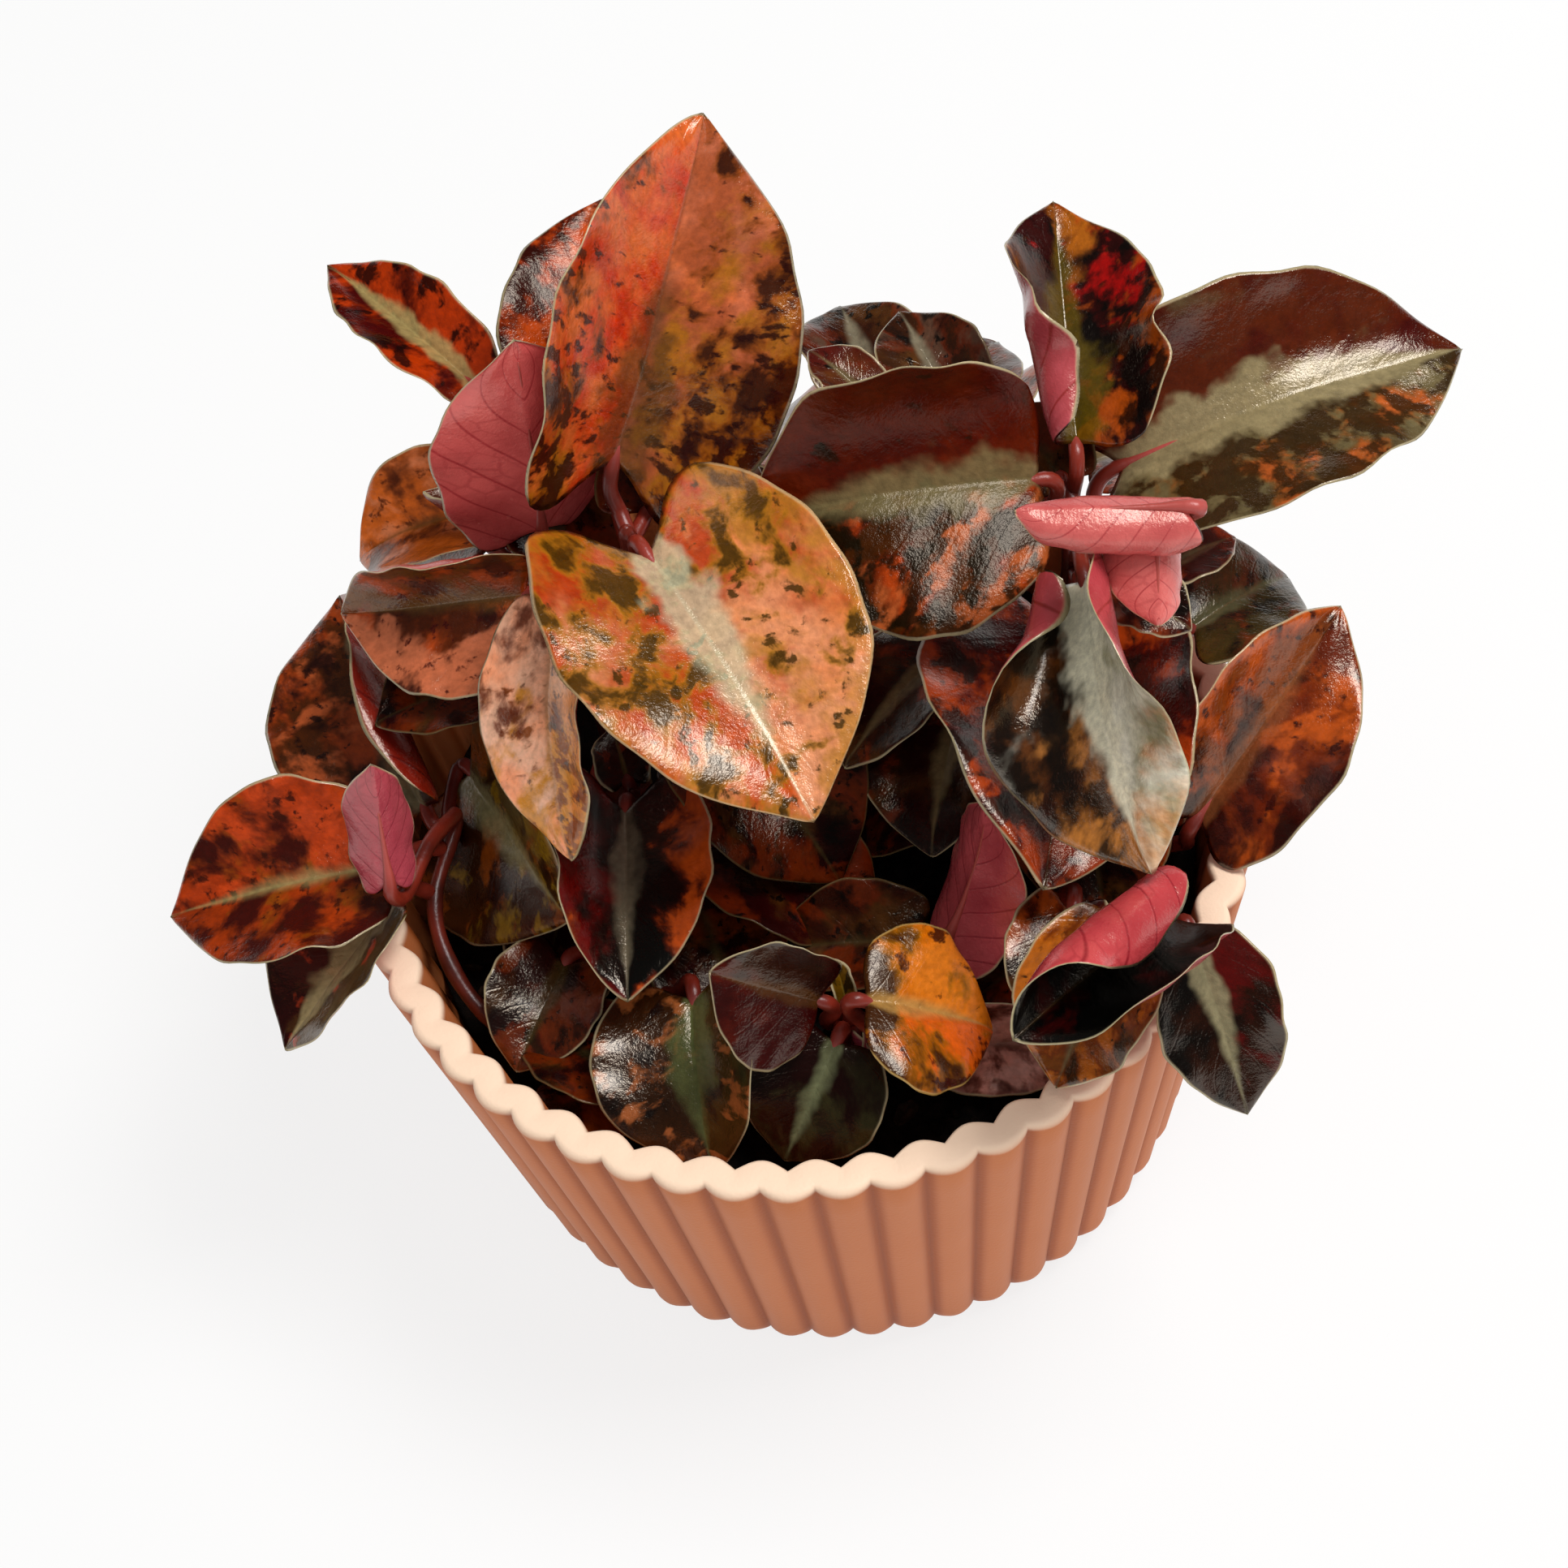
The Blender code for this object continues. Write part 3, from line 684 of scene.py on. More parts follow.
def stalk_shell(spec, base, stalk):
    """A tube from inside the stem to the blade, then on as a rib that thins towards the tip."""
    u = np.linspace(0.05, 0.9, 9)
    rib = fine_blade(spec, np.stack([u] * 3, -1), np.array([-0.05, 0.0, 0.05]) + 0 * u[:, None])
    depth = RIB_DEPTH * (1 - u) ** 1.5 + RIB_LEAST
    under = rib[:, 1] - (depth + RIB_SINK)[:, None] * blade_normal(rib)[:, 1] + base
    root = stalk[0] + ROOT_DEPTH * unit(stalk[0] - stalk[1])
    knots = np.vstack([root, stalk, under])
    path = smooth_path(knots, STALK_STEPS)
    walked = np.linspace(0, 1, STALK_STEPS)
    radius = np.interp(walked * (len(knots) - 1), STALK_KNOTS, STALK_RADII)
    skin = tube(path, radius, leaf_axes(spec)[1], STALK_SIDES)
    share = np.broadcast_to(np.concatenate([[0], walked, [1]])[:, None], skin.shape[:2])
    return shell(skin, u=(share,))


trial = blade_shell(sample, np.zeros(3), dict(frill=0.3), 1)
print("one blade:", len(trial["points"]), "points,", len(trial["triangles"]), "triangles")

# %% [markdown]
# ## The leaf finish
#
# No two leaves are marked alike, but all are marked in the same way: two halves of different
# colour, irregular spots in a few colours and sizes that follow the side veins, a pale ragged
# band on the midrib and a thin pale margin, with a pink underside. So there are three node
# groups, and each leaf chains them with its own colours and shares. The marks are drawn in
# the leaf's own millimetres, x along the midrib and y across.

# %% Leaf markings
VEIN_LEAN = 0.3                         # millimetres forward for each one across
FRINGE_LIMIT, SPOT_LIMIT = 0.69, 0.75   # levels past which a spot's fringe and its body show
CLOUD_SIZE, FEATHER_SIZE, FLECK_SIZE, NET_SIZE = 7.0, 3.4, 0.9, 2.2     # millimetres
GROUND_SEED, BAND_SEED, SPOT_SEED, LAYER_SEED = 3.7, 2.9, 5.3, 17.0     # keep patterns apart
WAX_TINT = (1.0, 0.87, 0.72, 1.0)


def leaf_values(tree):
    """Where on the leaf: the shares u and v, and x and y in millimetres."""
    return [attribute(tree, name) for name in ("u", "v", "x", "y")]


def vein_place(tree, x, y, size, stretch, seed):
    """Noise coordinates that lean with the side veins: ((x - lean |y|) / size, y / size / stretch)."""
    lean = math(tree, "MULTIPLY_ADD", math(tree, "ABSOLUTE", y), -VEIN_LEAN, x)
    across = math(tree, "DIVIDE", math(tree, "DIVIDE", y, size), stretch)
    return vector(tree, math(tree, "DIVIDE", lean, size), across, seed)


def make_spots():
    """Spots of one colour with a fringe, where noise and the cover pass a limit.

    The cover changes with the half, with u and with |v|, by Left, Lean and Out.
    """
    shares = ("Cover", "Left", "Lean", "Out", "Size", "Stretch", "Soft", "Strength", "Halo", "Seed")
    colours = dict.fromkeys(("Under", "Colour", "Fringe"), "Color")
    tree, given, put = new_group(
        "leaf_spots", {**colours, **dict.fromkeys(shares, "Float")}, {"Color": "Color"})
    u, v, x, y = leaf_values(tree)
    half = step(tree, v, -0.12, 0.12)
    share = given["Cover"]
    for name, value in (("Left", half), ("Lean", u), ("Out", math(tree, "ABSOLUTE", v))):
        both_ways = math(tree, "MULTIPLY_ADD", value, 2, -1)
        share = math(tree, "MULTIPLY_ADD", given[name], both_ways, share)
    place = vein_place(tree, x, y, given["Size"], given["Stretch"], given["Seed"])
    level = math(tree, "MULTIPLY_ADD", share, 0.5, noise(tree, place, 1.0, 4, 0.55, 0.25))
    colour = given["Under"]
    for name, limit, strength in (("Fringe", FRINGE_LIMIT, "Halo"), ("Colour", SPOT_LIMIT, "Strength")):
        rise = math(tree, "DIVIDE", math(tree, "SUBTRACT", level, limit), given["Soft"])
        mask = math(tree, "MULTIPLY", step(tree, rise, -1.0, 1.0), given[strength])
        colour = blend_colour(tree, mask, colour, given[name])
    feed(tree, put["Color"], colour)
    return tree


def side_veins(tree, u, v):
    """1 on the side veins, where VEINS * (u - slant * |v|) is a whole number."""
    along = math(tree, "MULTIPLY_ADD", math(tree, "ABSOLUTE", v), -VEIN_SLANT, u)
    spot = math(tree, "FRACT", math(tree, "MULTIPLY_ADD", along, VEINS, 4.0))
    gap = math(tree, "ABSOLUTE", math(tree, "SUBTRACT", spot, 0.5))
    return step(tree, gap, 0.42, 0.5)


def make_ground():
    """The two halves with a wandering border, and slow changes of brightness."""
    tree, given, put = new_group("leaf_ground", {"Left": "Color", "Right": "Color", "Seed": "Float"},
                                 {"Color": "Color"})
    _, v, x, y = leaf_values(tree)
    cloud = noise(tree, vein_place(tree, x, y, CLOUD_SIZE, 1.0, given["Seed"]), 1.0, 3)
    border = math(tree, "MULTIPLY_ADD", cloud, 0.2, math(tree, "SUBTRACT", v, 0.1))
    halves = blend_colour(tree, step(tree, border, -0.04, 0.04), given["Right"], given["Left"])
    tone = math(tree, "MULTIPLY_ADD", cloud, 1.0, 0.5)
    cloudy = blend_colour(tree, 1.0, halves, vector(tree, tone, tone, tone), "MULTIPLY")
    feed(tree, put["Color"], cloudy)
    return tree


def make_band():
    """The feathered band on the midrib, its fine line, the margin, the underside and the relief."""
    colours = ("Upper", "Band", "Margin", "Under", "Vein")
    shares = ("Width", "Reach", "Share", "Seed")
    tree, given, put = new_group(
        "leaf_band", {**dict.fromkeys(colours, "Color"), **dict.fromkeys(shares, "Float")},
        {"Color": "Color", "Roughness": "Float", "Height": "Float"})
    u, v, x, y = leaf_values(tree)
    side, rim = attribute(tree, "side"), attribute(tree, "rim")
    feather = noise(tree, vein_place(tree, x, y, FEATHER_SIZE, 1.1, given["Seed"]), 1.0, 2, 0.5)
    spent = math(tree, "POWER", math(tree, "DIVIDE", u, given["Reach"]), 2.0)
    reach = math(tree, "MULTIPLY", given["Width"], math(tree, "SUBTRACT", 1.0, spent, clamp=True))
    slow = noise(tree, vein_place(tree, x, y, CLOUD_SIZE, 1.0, given["Seed"]), 1.0, 2)
    ragged = math(tree, "MULTIPLY_ADD", feather, 1.7, math(tree, "MULTIPLY_ADD", slow, 1.2, -0.5))
    inside = math(tree, "SUBTRACT", math(tree, "MULTIPLY", reach, ragged), math(tree, "ABSOLUTE", v))
    band = math(tree, "MULTIPLY", step(tree, inside, -0.06, 0.1), given["Share"])
    colour = blend_colour(tree, band, given["Upper"], given["Band"])
    veins = side_veins(tree, u, v)
    line = math(tree, "SUBTRACT", 1.0, step(tree, math(tree, "ABSOLUTE", y), 0.12, 0.4))
    colour = blend_colour(tree, math(tree, "MULTIPLY", line, 0.25), colour, given["Band"])
    grain = noise(tree, vein_place(tree, x, y, FLECK_SIZE, 1.0, given["Seed"]), 1.0, 2)
    fleck = math(tree, "MULTIPLY_ADD", grain, 0.9, 0.55)
    colour = blend_colour(tree, 1.0, colour, vector(tree, fleck, fleck, fleck), "MULTIPLY")

    place = object_place(tree)
    net = tree.nodes.new("ShaderNodeTexVoronoi")
    net.feature = "DISTANCE_TO_EDGE"
    feed(tree, net.inputs["Vector"], vein_place(tree, x, y, NET_SIZE, 1.4, given["Seed"]))
    net.inputs["Scale"].default_value = 1.0
    mesh = math(tree, "SUBTRACT", 1.0, step(tree, net.outputs["Distance"], 0.01, 0.12))
    faint = math(tree, "MULTIPLY", mesh, 0.32)
    lines = math(tree, "MAXIMUM", math(tree, "MULTIPLY", veins, 0.8), faint)
    clouds = math(tree, "MULTIPLY_ADD", noise(tree, place, 160, 3), 1.5, -0.5, clamp=True)
    under = blend_colour(tree, math(tree, "MAXIMUM", lines, clouds), given["Under"], given["Vein"])
    colour = blend_colour(tree, step(tree, side, 0.3, 0.7), under, colour)
    edge = math(tree, "MULTIPLY", step(tree, rim, 0.3, 0.8), 0.85)
    feed(tree, put["Color"], blend_colour(tree, edge, colour, given["Margin"]))

    height = math(tree, "MULTIPLY_ADD", noise(tree, place, 700, 3, 0.6), 0.8,
                  math(tree, "MULTIPLY", noise(tree, place, 2600, 2, 0.7), 0.55))
    feed(tree, put["Height"], math(tree, "MULTIPLY_ADD", veins, -0.15, height))
    rough = math(tree, "MULTIPLY_ADD", noise(tree, place, 300, 2), 0.2, 0.15)
    feed(tree, put["Roughness"], math(tree, "MULTIPLY_ADD", side, -0.06, rough))
    return tree


leaf_spots, leaf_ground, leaf_band = make_spots(), make_ground(), make_band()
SHEEN = np.array([0.014, 0.011, 0.008, 0.0])      # linear light that the wax adds everywhere
DARKEST = 0.0006                                  # the least that a pigment keeps of each colour


def pigment(code):
    """The colour that looks like the code once the wax has added its even sheen of grey."""
    return tuple(np.maximum(np.array(linear(code)) - SHEEN, DARKEST).tolist())


def spots(colour, cover, size=3.0, left=0.0, lean=0.0, out=0.0, stretch=1.15, soft=0.055,
          strength=0.92, fringe=None):
    """One layer of spots: size in millimetres; left, lean and out shift the cover over the leaf."""
    return dict(Colour=pigment(colour), Fringe=pigment(fringe or colour), Cover=cover, Size=size,
                Left=left, Lean=lean, Out=out, Stretch=stretch, Soft=soft, Strength=strength,
                Halo=0.8 if fringe else 0.0)


def look(left, right=None, layers=(), band="#7A6A48", width=0.2, reach=0.95, share=0.8,
         margin="#C4B48C", under="#BE4A42", vein="#8A241C", frill=0.45, gloss=0.62):
    """One leaf's colours; the right half is like the left one unless it is given."""
    return dict(left=left, right=right or left, layers=layers, band=band, width=width, reach=reach,
                share=share, margin=margin, under=under, vein=vein, frill=frill, gloss=gloss)


def leaf_finish(name, given, seed):
    """Ground, layers of spots, then the band; a waxy skin whose fine grain breaks up the shine."""
    made, tree, shader = new_finish(name, Coat_Weight=0.45 * given["gloss"], Coat_Roughness=0.18,
                                    Specular_IOR_Level=0.2 + 0.9 * given["gloss"])
    shader["Specular Tint"].default_value = WAX_TINT
    colour = use_group(tree, leaf_ground, Left=pigment(given["left"]), Right=pigment(given["right"]),
                       Seed=seed * GROUND_SEED)["Color"]
    for number, layer in enumerate(given["layers"]):
        colour = use_group(tree, leaf_spots, Under=colour,
                           Seed=seed * SPOT_SEED + number * LAYER_SEED, **layer)["Color"]
    marks = use_group(tree, leaf_band, Upper=colour, Band=pigment(given["band"]),
                      Margin=pigment(given["margin"]), Under=pigment(given["under"]),
                      Vein=pigment(given["vein"]), Width=given["width"], Reach=given["reach"],
                      Share=given["share"], Seed=seed * BAND_SEED)
    feed(tree, shader["Base Color"], marks["Color"])
    feed(tree, shader["Roughness"], marks["Roughness"])
    feed(tree, shader["Normal"], bump(tree, marks["Height"], strength=0.4, distance=0.0003))
    return made


def stalk_finish(name, colour, dark):
    """Smooth red skin that darkens in soft stretches; the rib under a blade is a paler red."""
    made, tree, shader = new_finish(name, Roughness=0.36, Coat_Weight=0.1, Coat_Roughness=0.25)
    place = object_place(tree)
    share = step(tree, noise(tree, place, 140, 3), 0.35, 0.7)
    skin = blend_colour(tree, share, linear(colour), linear(dark))
    rib = step(tree, attribute(tree, "u"), 0.3, 0.45)
    feed(tree, shader["Base Color"], blend_colour(tree, rib, skin, linear("#B04A42")))
    feed(tree, shader["Normal"], bump(tree, noise(tree, place, 1500, 2), strength=0.3, distance=0.0002))
    return made


red_stalk = stalk_finish("red_stalk", "#8A2A1A", "#54160C")
pink_stalk = stalk_finish("pink_stalk", "#C85C54", "#A8443E")
print("sockets of the three groups:", [len(group.interface.items_tree)
                                       for group in (leaf_spots, leaf_ground, leaf_band)])

# %% [markdown]
# ## Every leaf: its shape and its look
#
# The leaves are listed shoot by shoot, from the top of the shoot down. A shape has the
# leaf's bearings, its length and width and its bends, and no place, because the place is read
# from the solid. A look has the colours of the left and right halves, seen from the stalk
# with the upper face up, and the layers of spots over them.

# %% The leaves
RUST, GOLD, INK = "#A8421A", "#A8661A", "#200A04"
ROLLED_LEAF = "right_leaf_4"        # it shows its underside, and its stalk is pink and straight


def camo(ground, patch=RUST, cover=0.42, size=5.5, dark=INK, **changes):
    """The usual dark leaf: patches of one warm colour with a rusty fringe, broken up by darker ones."""
    layers = (spots("#6A4420", 0.34, 7.0, soft=0.12, strength=0.6),
              spots(patch, cover, size, out=0.06, fringe="#6E2C10"),
              spots(dark, 0.32, 4.0, soft=0.08), spots(dark, 0.24, 1.4))
    return look(ground, None, layers, **changes)


LEAVES = {
    "tall_leaf_1": (
        shape(52, 44, 51, 40, 35, arch=8, curl=(41, 17), fold=10, lobe=0.09, ear=0.1),
        look("#C8360C", "#C46A48", (
            spots("#D86A30", 0.40, 7.0, left=0.1, soft=0.12),
            spots("#A8522E", 0.34, 5.0, left=-0.3, soft=0.12),
            spots(GOLD, 0.28, 5.0, left=-0.2, lean=-0.34, out=0.22, soft=0.1),
            spots("#3A2008", 0.27, 4.6, left=-0.1, lean=-0.06, out=0.12, fringe="#8A4416"),
            spots("#33180A", 0.28, 1.5, lean=-0.2, out=0.16, stretch=2.0)
        ), band="#54381E", width=0.32, reach=0.6, share=0.7)),
    "tall_leaf_2": (
        shape(-67, -1, -8, 37, 35, arch=26, curl=(29, 10), lobe=0.17, twist=6, tip=0.24, ear=0.05),
        look("#E08048", "#B84C1C", (
            spots("#E4966A", 0.42, 8.0, left=0.1, soft=0.14),
            spots("#AE3A12", 0.36, 7.0, lean=-0.44, soft=0.1),
            spots("#B87A2C", 0.31, 5.5, left=0.06, out=0.24, soft=0.1, strength=0.8),
            spots("#4A3410", 0.32, 4.0, left=-0.06, lean=-0.1, fringe="#A8701E"),
            spots("#4A3410", 0.26, 1.8, soft=0.05)
        ), band="#C6C29E", width=0.27, reach=0.8, share=0.62, margin="#DCB886")),
    "tall_leaf_3": (
        shape(78, 40, 1, 27, 24, arch=33),
        look("#BE4A1A", None, (
            spots("#C8653A", 0.4, 6.0, soft=0.1),
            spots("#2E1208", 0.38, 3.4, left=0.1, fringe="#7A2A0A")
        ), band="#7A5A3C", width=0.1, gloss=0.2)),
    "left_leaf_1": (
        shape(152, 96, 131, 31, 23, arch=-9, curl=(43, 16), fold=9, lobe=0.12),
        camo("#5A2410", under="#F0706A", vein="#B4343A")),
    "left_leaf_2": (
        shape(-107, -19, 31, 28, 19, arch=33, curl=(52, 17), fold=2, lobe=0.09),
        look("#E8882E", "#FFA274", (
            # Painted highlight: the pale spots of this first layer stand in for the shine on the leaf.
            spots("#FFCBAA", 0.32, 7.0, left=-0.1, lean=-0.1, soft=0.14, strength=0.75),
            spots("#D88C24", 0.34, 5.0, left=0.02, lean=0.34, soft=0.08),
            spots("#8A4414", 0.33, 2.0, left=0.06, lean=0.1, stretch=1.8),
            spots("#6A2C10", 0.24, 4.0, left=-0.04, lean=-0.34, soft=0.08),
            spots("#4E2C10", 0.20, 2.0, left=0.1)
        ), band="#C99068", width=0.06)),
    "left_leaf_3": (
        shape(-176, 11, -5, 17, 19, arch=52, curl=(39, 39), fold=12, lobe=0.17),
        look("#B4561E", None, (
            spots("#CD774C", 0.42, 5.0, soft=0.1),
            spots("#4E260C", 0.42, 6.0, left=0.08, fringe="#86401A"),
            spots("#5E2C10", 0.28, 1.6)
        ), band="#6E4420", width=0.12)),
    "left_leaf_4": (
        shape(178, 2, -48, 22, 23, arch=18, curl=(34, 88), fold=14, lobe=0.06),
        look("#55280C", "#6A3E18", (
            spots("#B4481C", 0.42, 6.5, left=0.08, lean=0.1, fringe="#7A3410"),
            spots("#C46C48", 0.36, 7.0, left=0.36, out=0.3, soft=0.05),
            spots("#3A1408", 0.3, 4.5, soft=0.05),
            spots("#4A1C0A", 0.24, 1.4)
        ), band="#74562E", width=0.14, share=0.5)),
    "low_left_leaf_1": (
        shape(111, 14, -35, 34, 27, arch=29, curl=(24, 65), fold=20, lobe=0.06,
              rolls=((-1, 0.2, 0.25, 0.3, 60),)),
        look("#4E2A12", "#43200E", (
            spots("#A0421C", 0.36, 7.0, out=0.04, stretch=0.8, fringe="#6E3014"),
            spots("#B4572E", 0.26, 6.0, left=0.1, soft=0.06),
            spots("#2C1608", 0.36, 6.0, soft=0.06),
            spots("#2A1408", 0.25, 1.6)
        ), band="#8A8060", width=0.16, under="#8E2A1C", vein="#5A120C")),
    "low_left_leaf_2": (
        shape(182, 5, -10, 25, 25, arch=22, curl=(31, 37), fold=11, lobe=0.05),
        look("#9E3A14", "#A83A16", (
            spots("#8A4A16", 0.40, 5.0, soft=0.08),
            spots("#C2451C", 0.34, 5.0, left=-0.1, soft=0.05),
            spots("#3E1A0A", 0.42, 5.0, fringe="#702C0E"),
            spots("#40200C", 0.28, 1.6)
        ), band="#9A8A58", width=0.1)),
    "low_left_leaf_3": (
        shape(-141, -19, 19, 21, 21, arch=4, curl=(26, 35), fold=15, lobe=0.03),
        look("#4A3418", "#36190C", (
            spots("#A83A1E", 0.24, 3.0, out=-0.1),
            spots("#5C4020", 0.3, 6.0, soft=0.1)
        ), band="#A69468", width=0.36, reach=1.2, share=0.85)),
    "low_left_leaf_4": (
        shape(264, 123, 15, 16, 10, arch=19, curl=(52, 51), fold=16, lobe=0.09),
        camo("#45200E", under="#C0525C", vein="#8A2A36", frill=0.4)),
    "low_left_leaf_5": (
        shape(-69, 7, 48, 27, 29, arch=2, curl=(49, 18), lobe=0.06, twist=14),
        look("#5A4622", "#3A2410", (
            spots("#8E481A", 0.38, 5.0, soft=0.06),
            spots("#86661F", 0.34, 4.5, left=0.1, lean=0.2, soft=0.06),
            spots("#2A1408", 0.36, 3.4, soft=0.05)
        ), band="#948A60", width=0.2)),
    "inner_leaf_1": (
        shape(-96, 6, -4, 25, 22, arch=18, curl=(17, 66), fold=15, lobe=0.17),
        look("#1C0803", "#220603", (
            spots("#6E1407", 0.22, 6.0, left=-0.3, out=0.2, soft=0.1),
            spots("#BE4E1C", 0.16, 5.0, left=0.16, lean=0.1, out=0.26, fringe="#6A2A0A")
        ), band="#7A6E58", width=0.2, reach=1.1)),
    "right_leaf_1": (
        shape(183, 14, -22, 33, 34, arch=31, curl=(-3, 80), lobe=0, twist=-10),
        look("#4A2A12", "#50200E", (
            spots("#AC421A", 0.20, 6.5, left=0.12, fringe="#6E2810"),
            spots("#B45A2E", 0.15, 6.0, left=0.16, lean=-0.2, out=0.15),
            spots("#262010", 0.38, 3.4, left=0.12),
            spots("#5E2614", 0.26, 7.0, left=-0.25, soft=0.12)
        ), band="#7A6C48", width=0.26, reach=1.05, share=0.7, gloss=0.08)),
    "right_leaf_2": (
        shape(84, 15, 15, 30, 26, arch=-4, curl=(86, 57), fold=18, lobe=0.05,
              rolls=((1, 0.15, 0.22, 0.4, 90), (1, 0.8, 0.3, 0.1, -35))),
        look("#3A0C05", "#340C05", (
            spots("#A81A0E", 0.16, 5.0, left=-0.2, lean=0.2, soft=0.06),
            spots("#A84A1A", 0.13, 4.5, left=-0.2, lean=-0.26),
            spots("#1E0803", 0.38, 4.0, left=-0.1, soft=0.06),
            spots("#B4641E", 0.0, 6.0, lean=0.5, soft=0.1)
        ), band="#5E4C1A", width=0.4, under="#C4565C", frill=0.8)),
    "right_leaf_3": (
        shape(3, 21, 16, 42, 31, arch=36, curl=(55, 31), lobe=0.12),
        look("#4A1706", "#4C3A22", (
            spots("#5E2A12", 0.28, 8.0, left=0.3, soft=0.12),
            spots("#6E6040", 0.38, 7.0, left=-0.4, soft=0.12),
            spots("#B85A28", 0.07, 6.0, left=-0.22, out=0.16, fringe="#7A4A20"),
            spots("#3A2814", 0.26, 3.4, left=-0.3)
        ), band="#968660", width=0.34, reach=1.2, share=0.9)),
    "right_leaf_4": (
        shape(172, 5, 180, 18, 15, arch=0, curl=(75, 60), lobe=0.1,
              rolls=((1, 0.5, 0.6, 0.3, 130), (-1, 0.5, 0.6, 0.3, 120))),
        camo("#3E1A0E", under="#DE6E68", vein="#A8363A", frill=0.5)),
    "right_leaf_5": (
        shape(-97, -5, 51, 35, 30, arch=19, curl=(82, 24), fold=3, lobe=0.04,
              rolls=((-1, 0.14, 0.24, 0.3, 230), (1, 0.85, 0.3, 0.0, -65))),
        look("#8A8458", "#3A2010", (
            spots("#6E3E1C", 0.34, 6.0, left=-0.15, soft=0.1),
            spots("#D0843C", 0.26, 6.0, left=-0.02, lean=0.5, soft=0.1),
            spots("#200E06", 0.34, 5.0, left=-0.2, lean=-0.1, soft=0.08),
            # Painted highlight: the near-white spots stand in for shine, and the band is the leaf's own
            # pale band lightened nearly to white as a painted highlight.
            spots("#FFFBE4", 0.24, 8.0, left=0.2, lean=0.1, soft=0.16)
        ), band="#FFF8D8", width=0.3, reach=0.98, share=0.9, under="#D4565E", frill=0.5, gloss=1.0)),
    "right_leaf_6": (
        shape(-104, 5, -13, 36, 35, arch=5, curl=(61, -5), fold=14, twist=-23),
        look("#3A1A08", "#40100A", (
            spots("#A8401A", 0.36, 5.5, left=0.05, out=0.18, fringe="#6A240C"),
            spots(INK, 0.36, 4.5, soft=0.05)
        ), band="#5A4A2C", width=0.12, share=0.5, frill=0.4)),
    "right_leaf_7": (shape(-46, -1, 14, 10, 9), camo("#3A1C10", frill=0.6)),
    "right_leaf_8": (shape(18, 9, 8, 9, 8), camo("#3A1C10", frill=0.6)),
    "right_leaf_9": (shape(-142, 0, 7, 18, 15), camo("#24100A", cover=0.2)),
    "right_leaf_10": ( shape(-116, 2, 15, 18, 20, arch=33, curl=(48, 25)), camo("#28140A", "#6A301C", 0.3)),
    "right_edge_leaf_1": (
        shape(32, 37, 35, 29, 22, arch=21, curl=(45, 26), fold=16, lobe=0.1),
        look("#84421E", "#682A0E", (
            spots("#BC541E", 0.38, 6.5, out=0.14, fringe="#8A3A12"),
            spots("#2C1006", 0.38, 6.0, lean=-0.24, soft=0.07),
            spots("#34160A", 0.26, 2.0)
        ), band="#9A5C36", width=0.2, share=0.45)),
    "right_edge_leaf_2": (
        shape(28, 2, 12, 17, 17, arch=40), camo("#40341C", "#6A4424", 0.3, band="#6E6A48")),
    "back_leaf_1": (shape(96, 22, 3, 15, 16, arch=42), camo("#3A2016", "#5E4434", 0.4, band="#8A8068")),
    "back_leaf_2": ( shape(104, 24, 1, 15, 14, arch=28), camo("#3C2418", "#5E4434", 0.4, band="#8A8068")),
    "back_leaf_3": (shape(130, 27, 0, 10, 8), camo("#55221A", "#6E2A20", 0.3)),
    "front_right_leaf_1": (
        shape(-139, 20, -12, 26, 30, arch=5, curl=(70, 175), fold=20, lobe=0.02,
              rolls=((-1, 0.4, 0.5, 0.3, 60),)),
        look("#1E0603", None, (spots("#3A0E06", 0.3, 5.0, soft=0.1),),
             band="#4E3A24", width=0.1, share=0.3, under="#D04E50", vein="#8E2028")),
    "front_right_leaf_2": (
        shape(-80, -30, 3, 21, 15, arch=24, curl=(38, 26), lobe=0.01),
        look("#33200F", None, (
            spots("#1E0C05", 0.42, 6.0, soft=0.1),
            spots("#5A1A10", 0.26, 5.0, left=0.2, lean=-0.3, soft=0.08)
        ), band="#8B8262", width=0.26, share=0.9)),
    "front_right_leaf_3": (
        shape(-131, -18, 5, 18, 18, arch=22, curl=(25, 43), fold=12, lobe=0.1),
        camo("#7E4418", "#B8641E", 0.42, 4.5, dark="#33240E")),
    "front_leaf_1": (
        shape(177, 39, -50, 14, 18, arch=6, curl=(11, 63), fold=10, lobe=0),
        look("#3B1203", "#2E0E05", (spots("#52200C", 0.3, 5.0, soft=0.1),),
             band="#5E3C20", width=0.2, share=0.7)),
    "front_leaf_2": (
        shape(-6, -22, 6, 17, 20, arch=30, curl=(1, -13), lobe=0.02),
        look("#C4660E", "#D05A1C", (
            spots("#D87826", 0.4, 6.0, left=0.2, soft=0.1),
            spots("#33200A", 0.28, 6.0, left=-0.08, lean=-0.32, soft=0.06, fringe="#8A5A14"),
            spots("#3A1C08", 0.22, 2.0, out=0.2)
        ), band="#B4884A", width=0.14, margin="#D0A860", gloss=0.4)),
    "front_leaf_3": (
        shape(-126, -19, -16, 15, 17, arch=37, curl=(17, 19), lobe=0.05),
        look("#2A1C0E", None, (spots("#3A3420", 0.4, 5.0, soft=0.1),),
             band="#6E7050", width=0.24, gloss=0.4)),
    "front_low_leaf_1": (
        shape(215, 123, -12, 20, 16, arch=19, curl=(16, 37), fold=6),
        camo("#3A1C18", under="#D25C60", vein="#8E2A32")),
    "front_low_leaf_2": (shape(-118, -2, 4, 14, 12), camo("#3A1A0C", "#B2501E", 0.36)),
    "front_low_leaf_3": (
        shape(-16, 12, 27, 18, 13, arch=19, curl=(70, 19), fold=12),
        look("#D08A78", None, (
            spots("#E4A898", 0.42, 5.0, soft=0.1),
            spots("#4A2014", 0.36, 4.0, fringe="#7A4030")
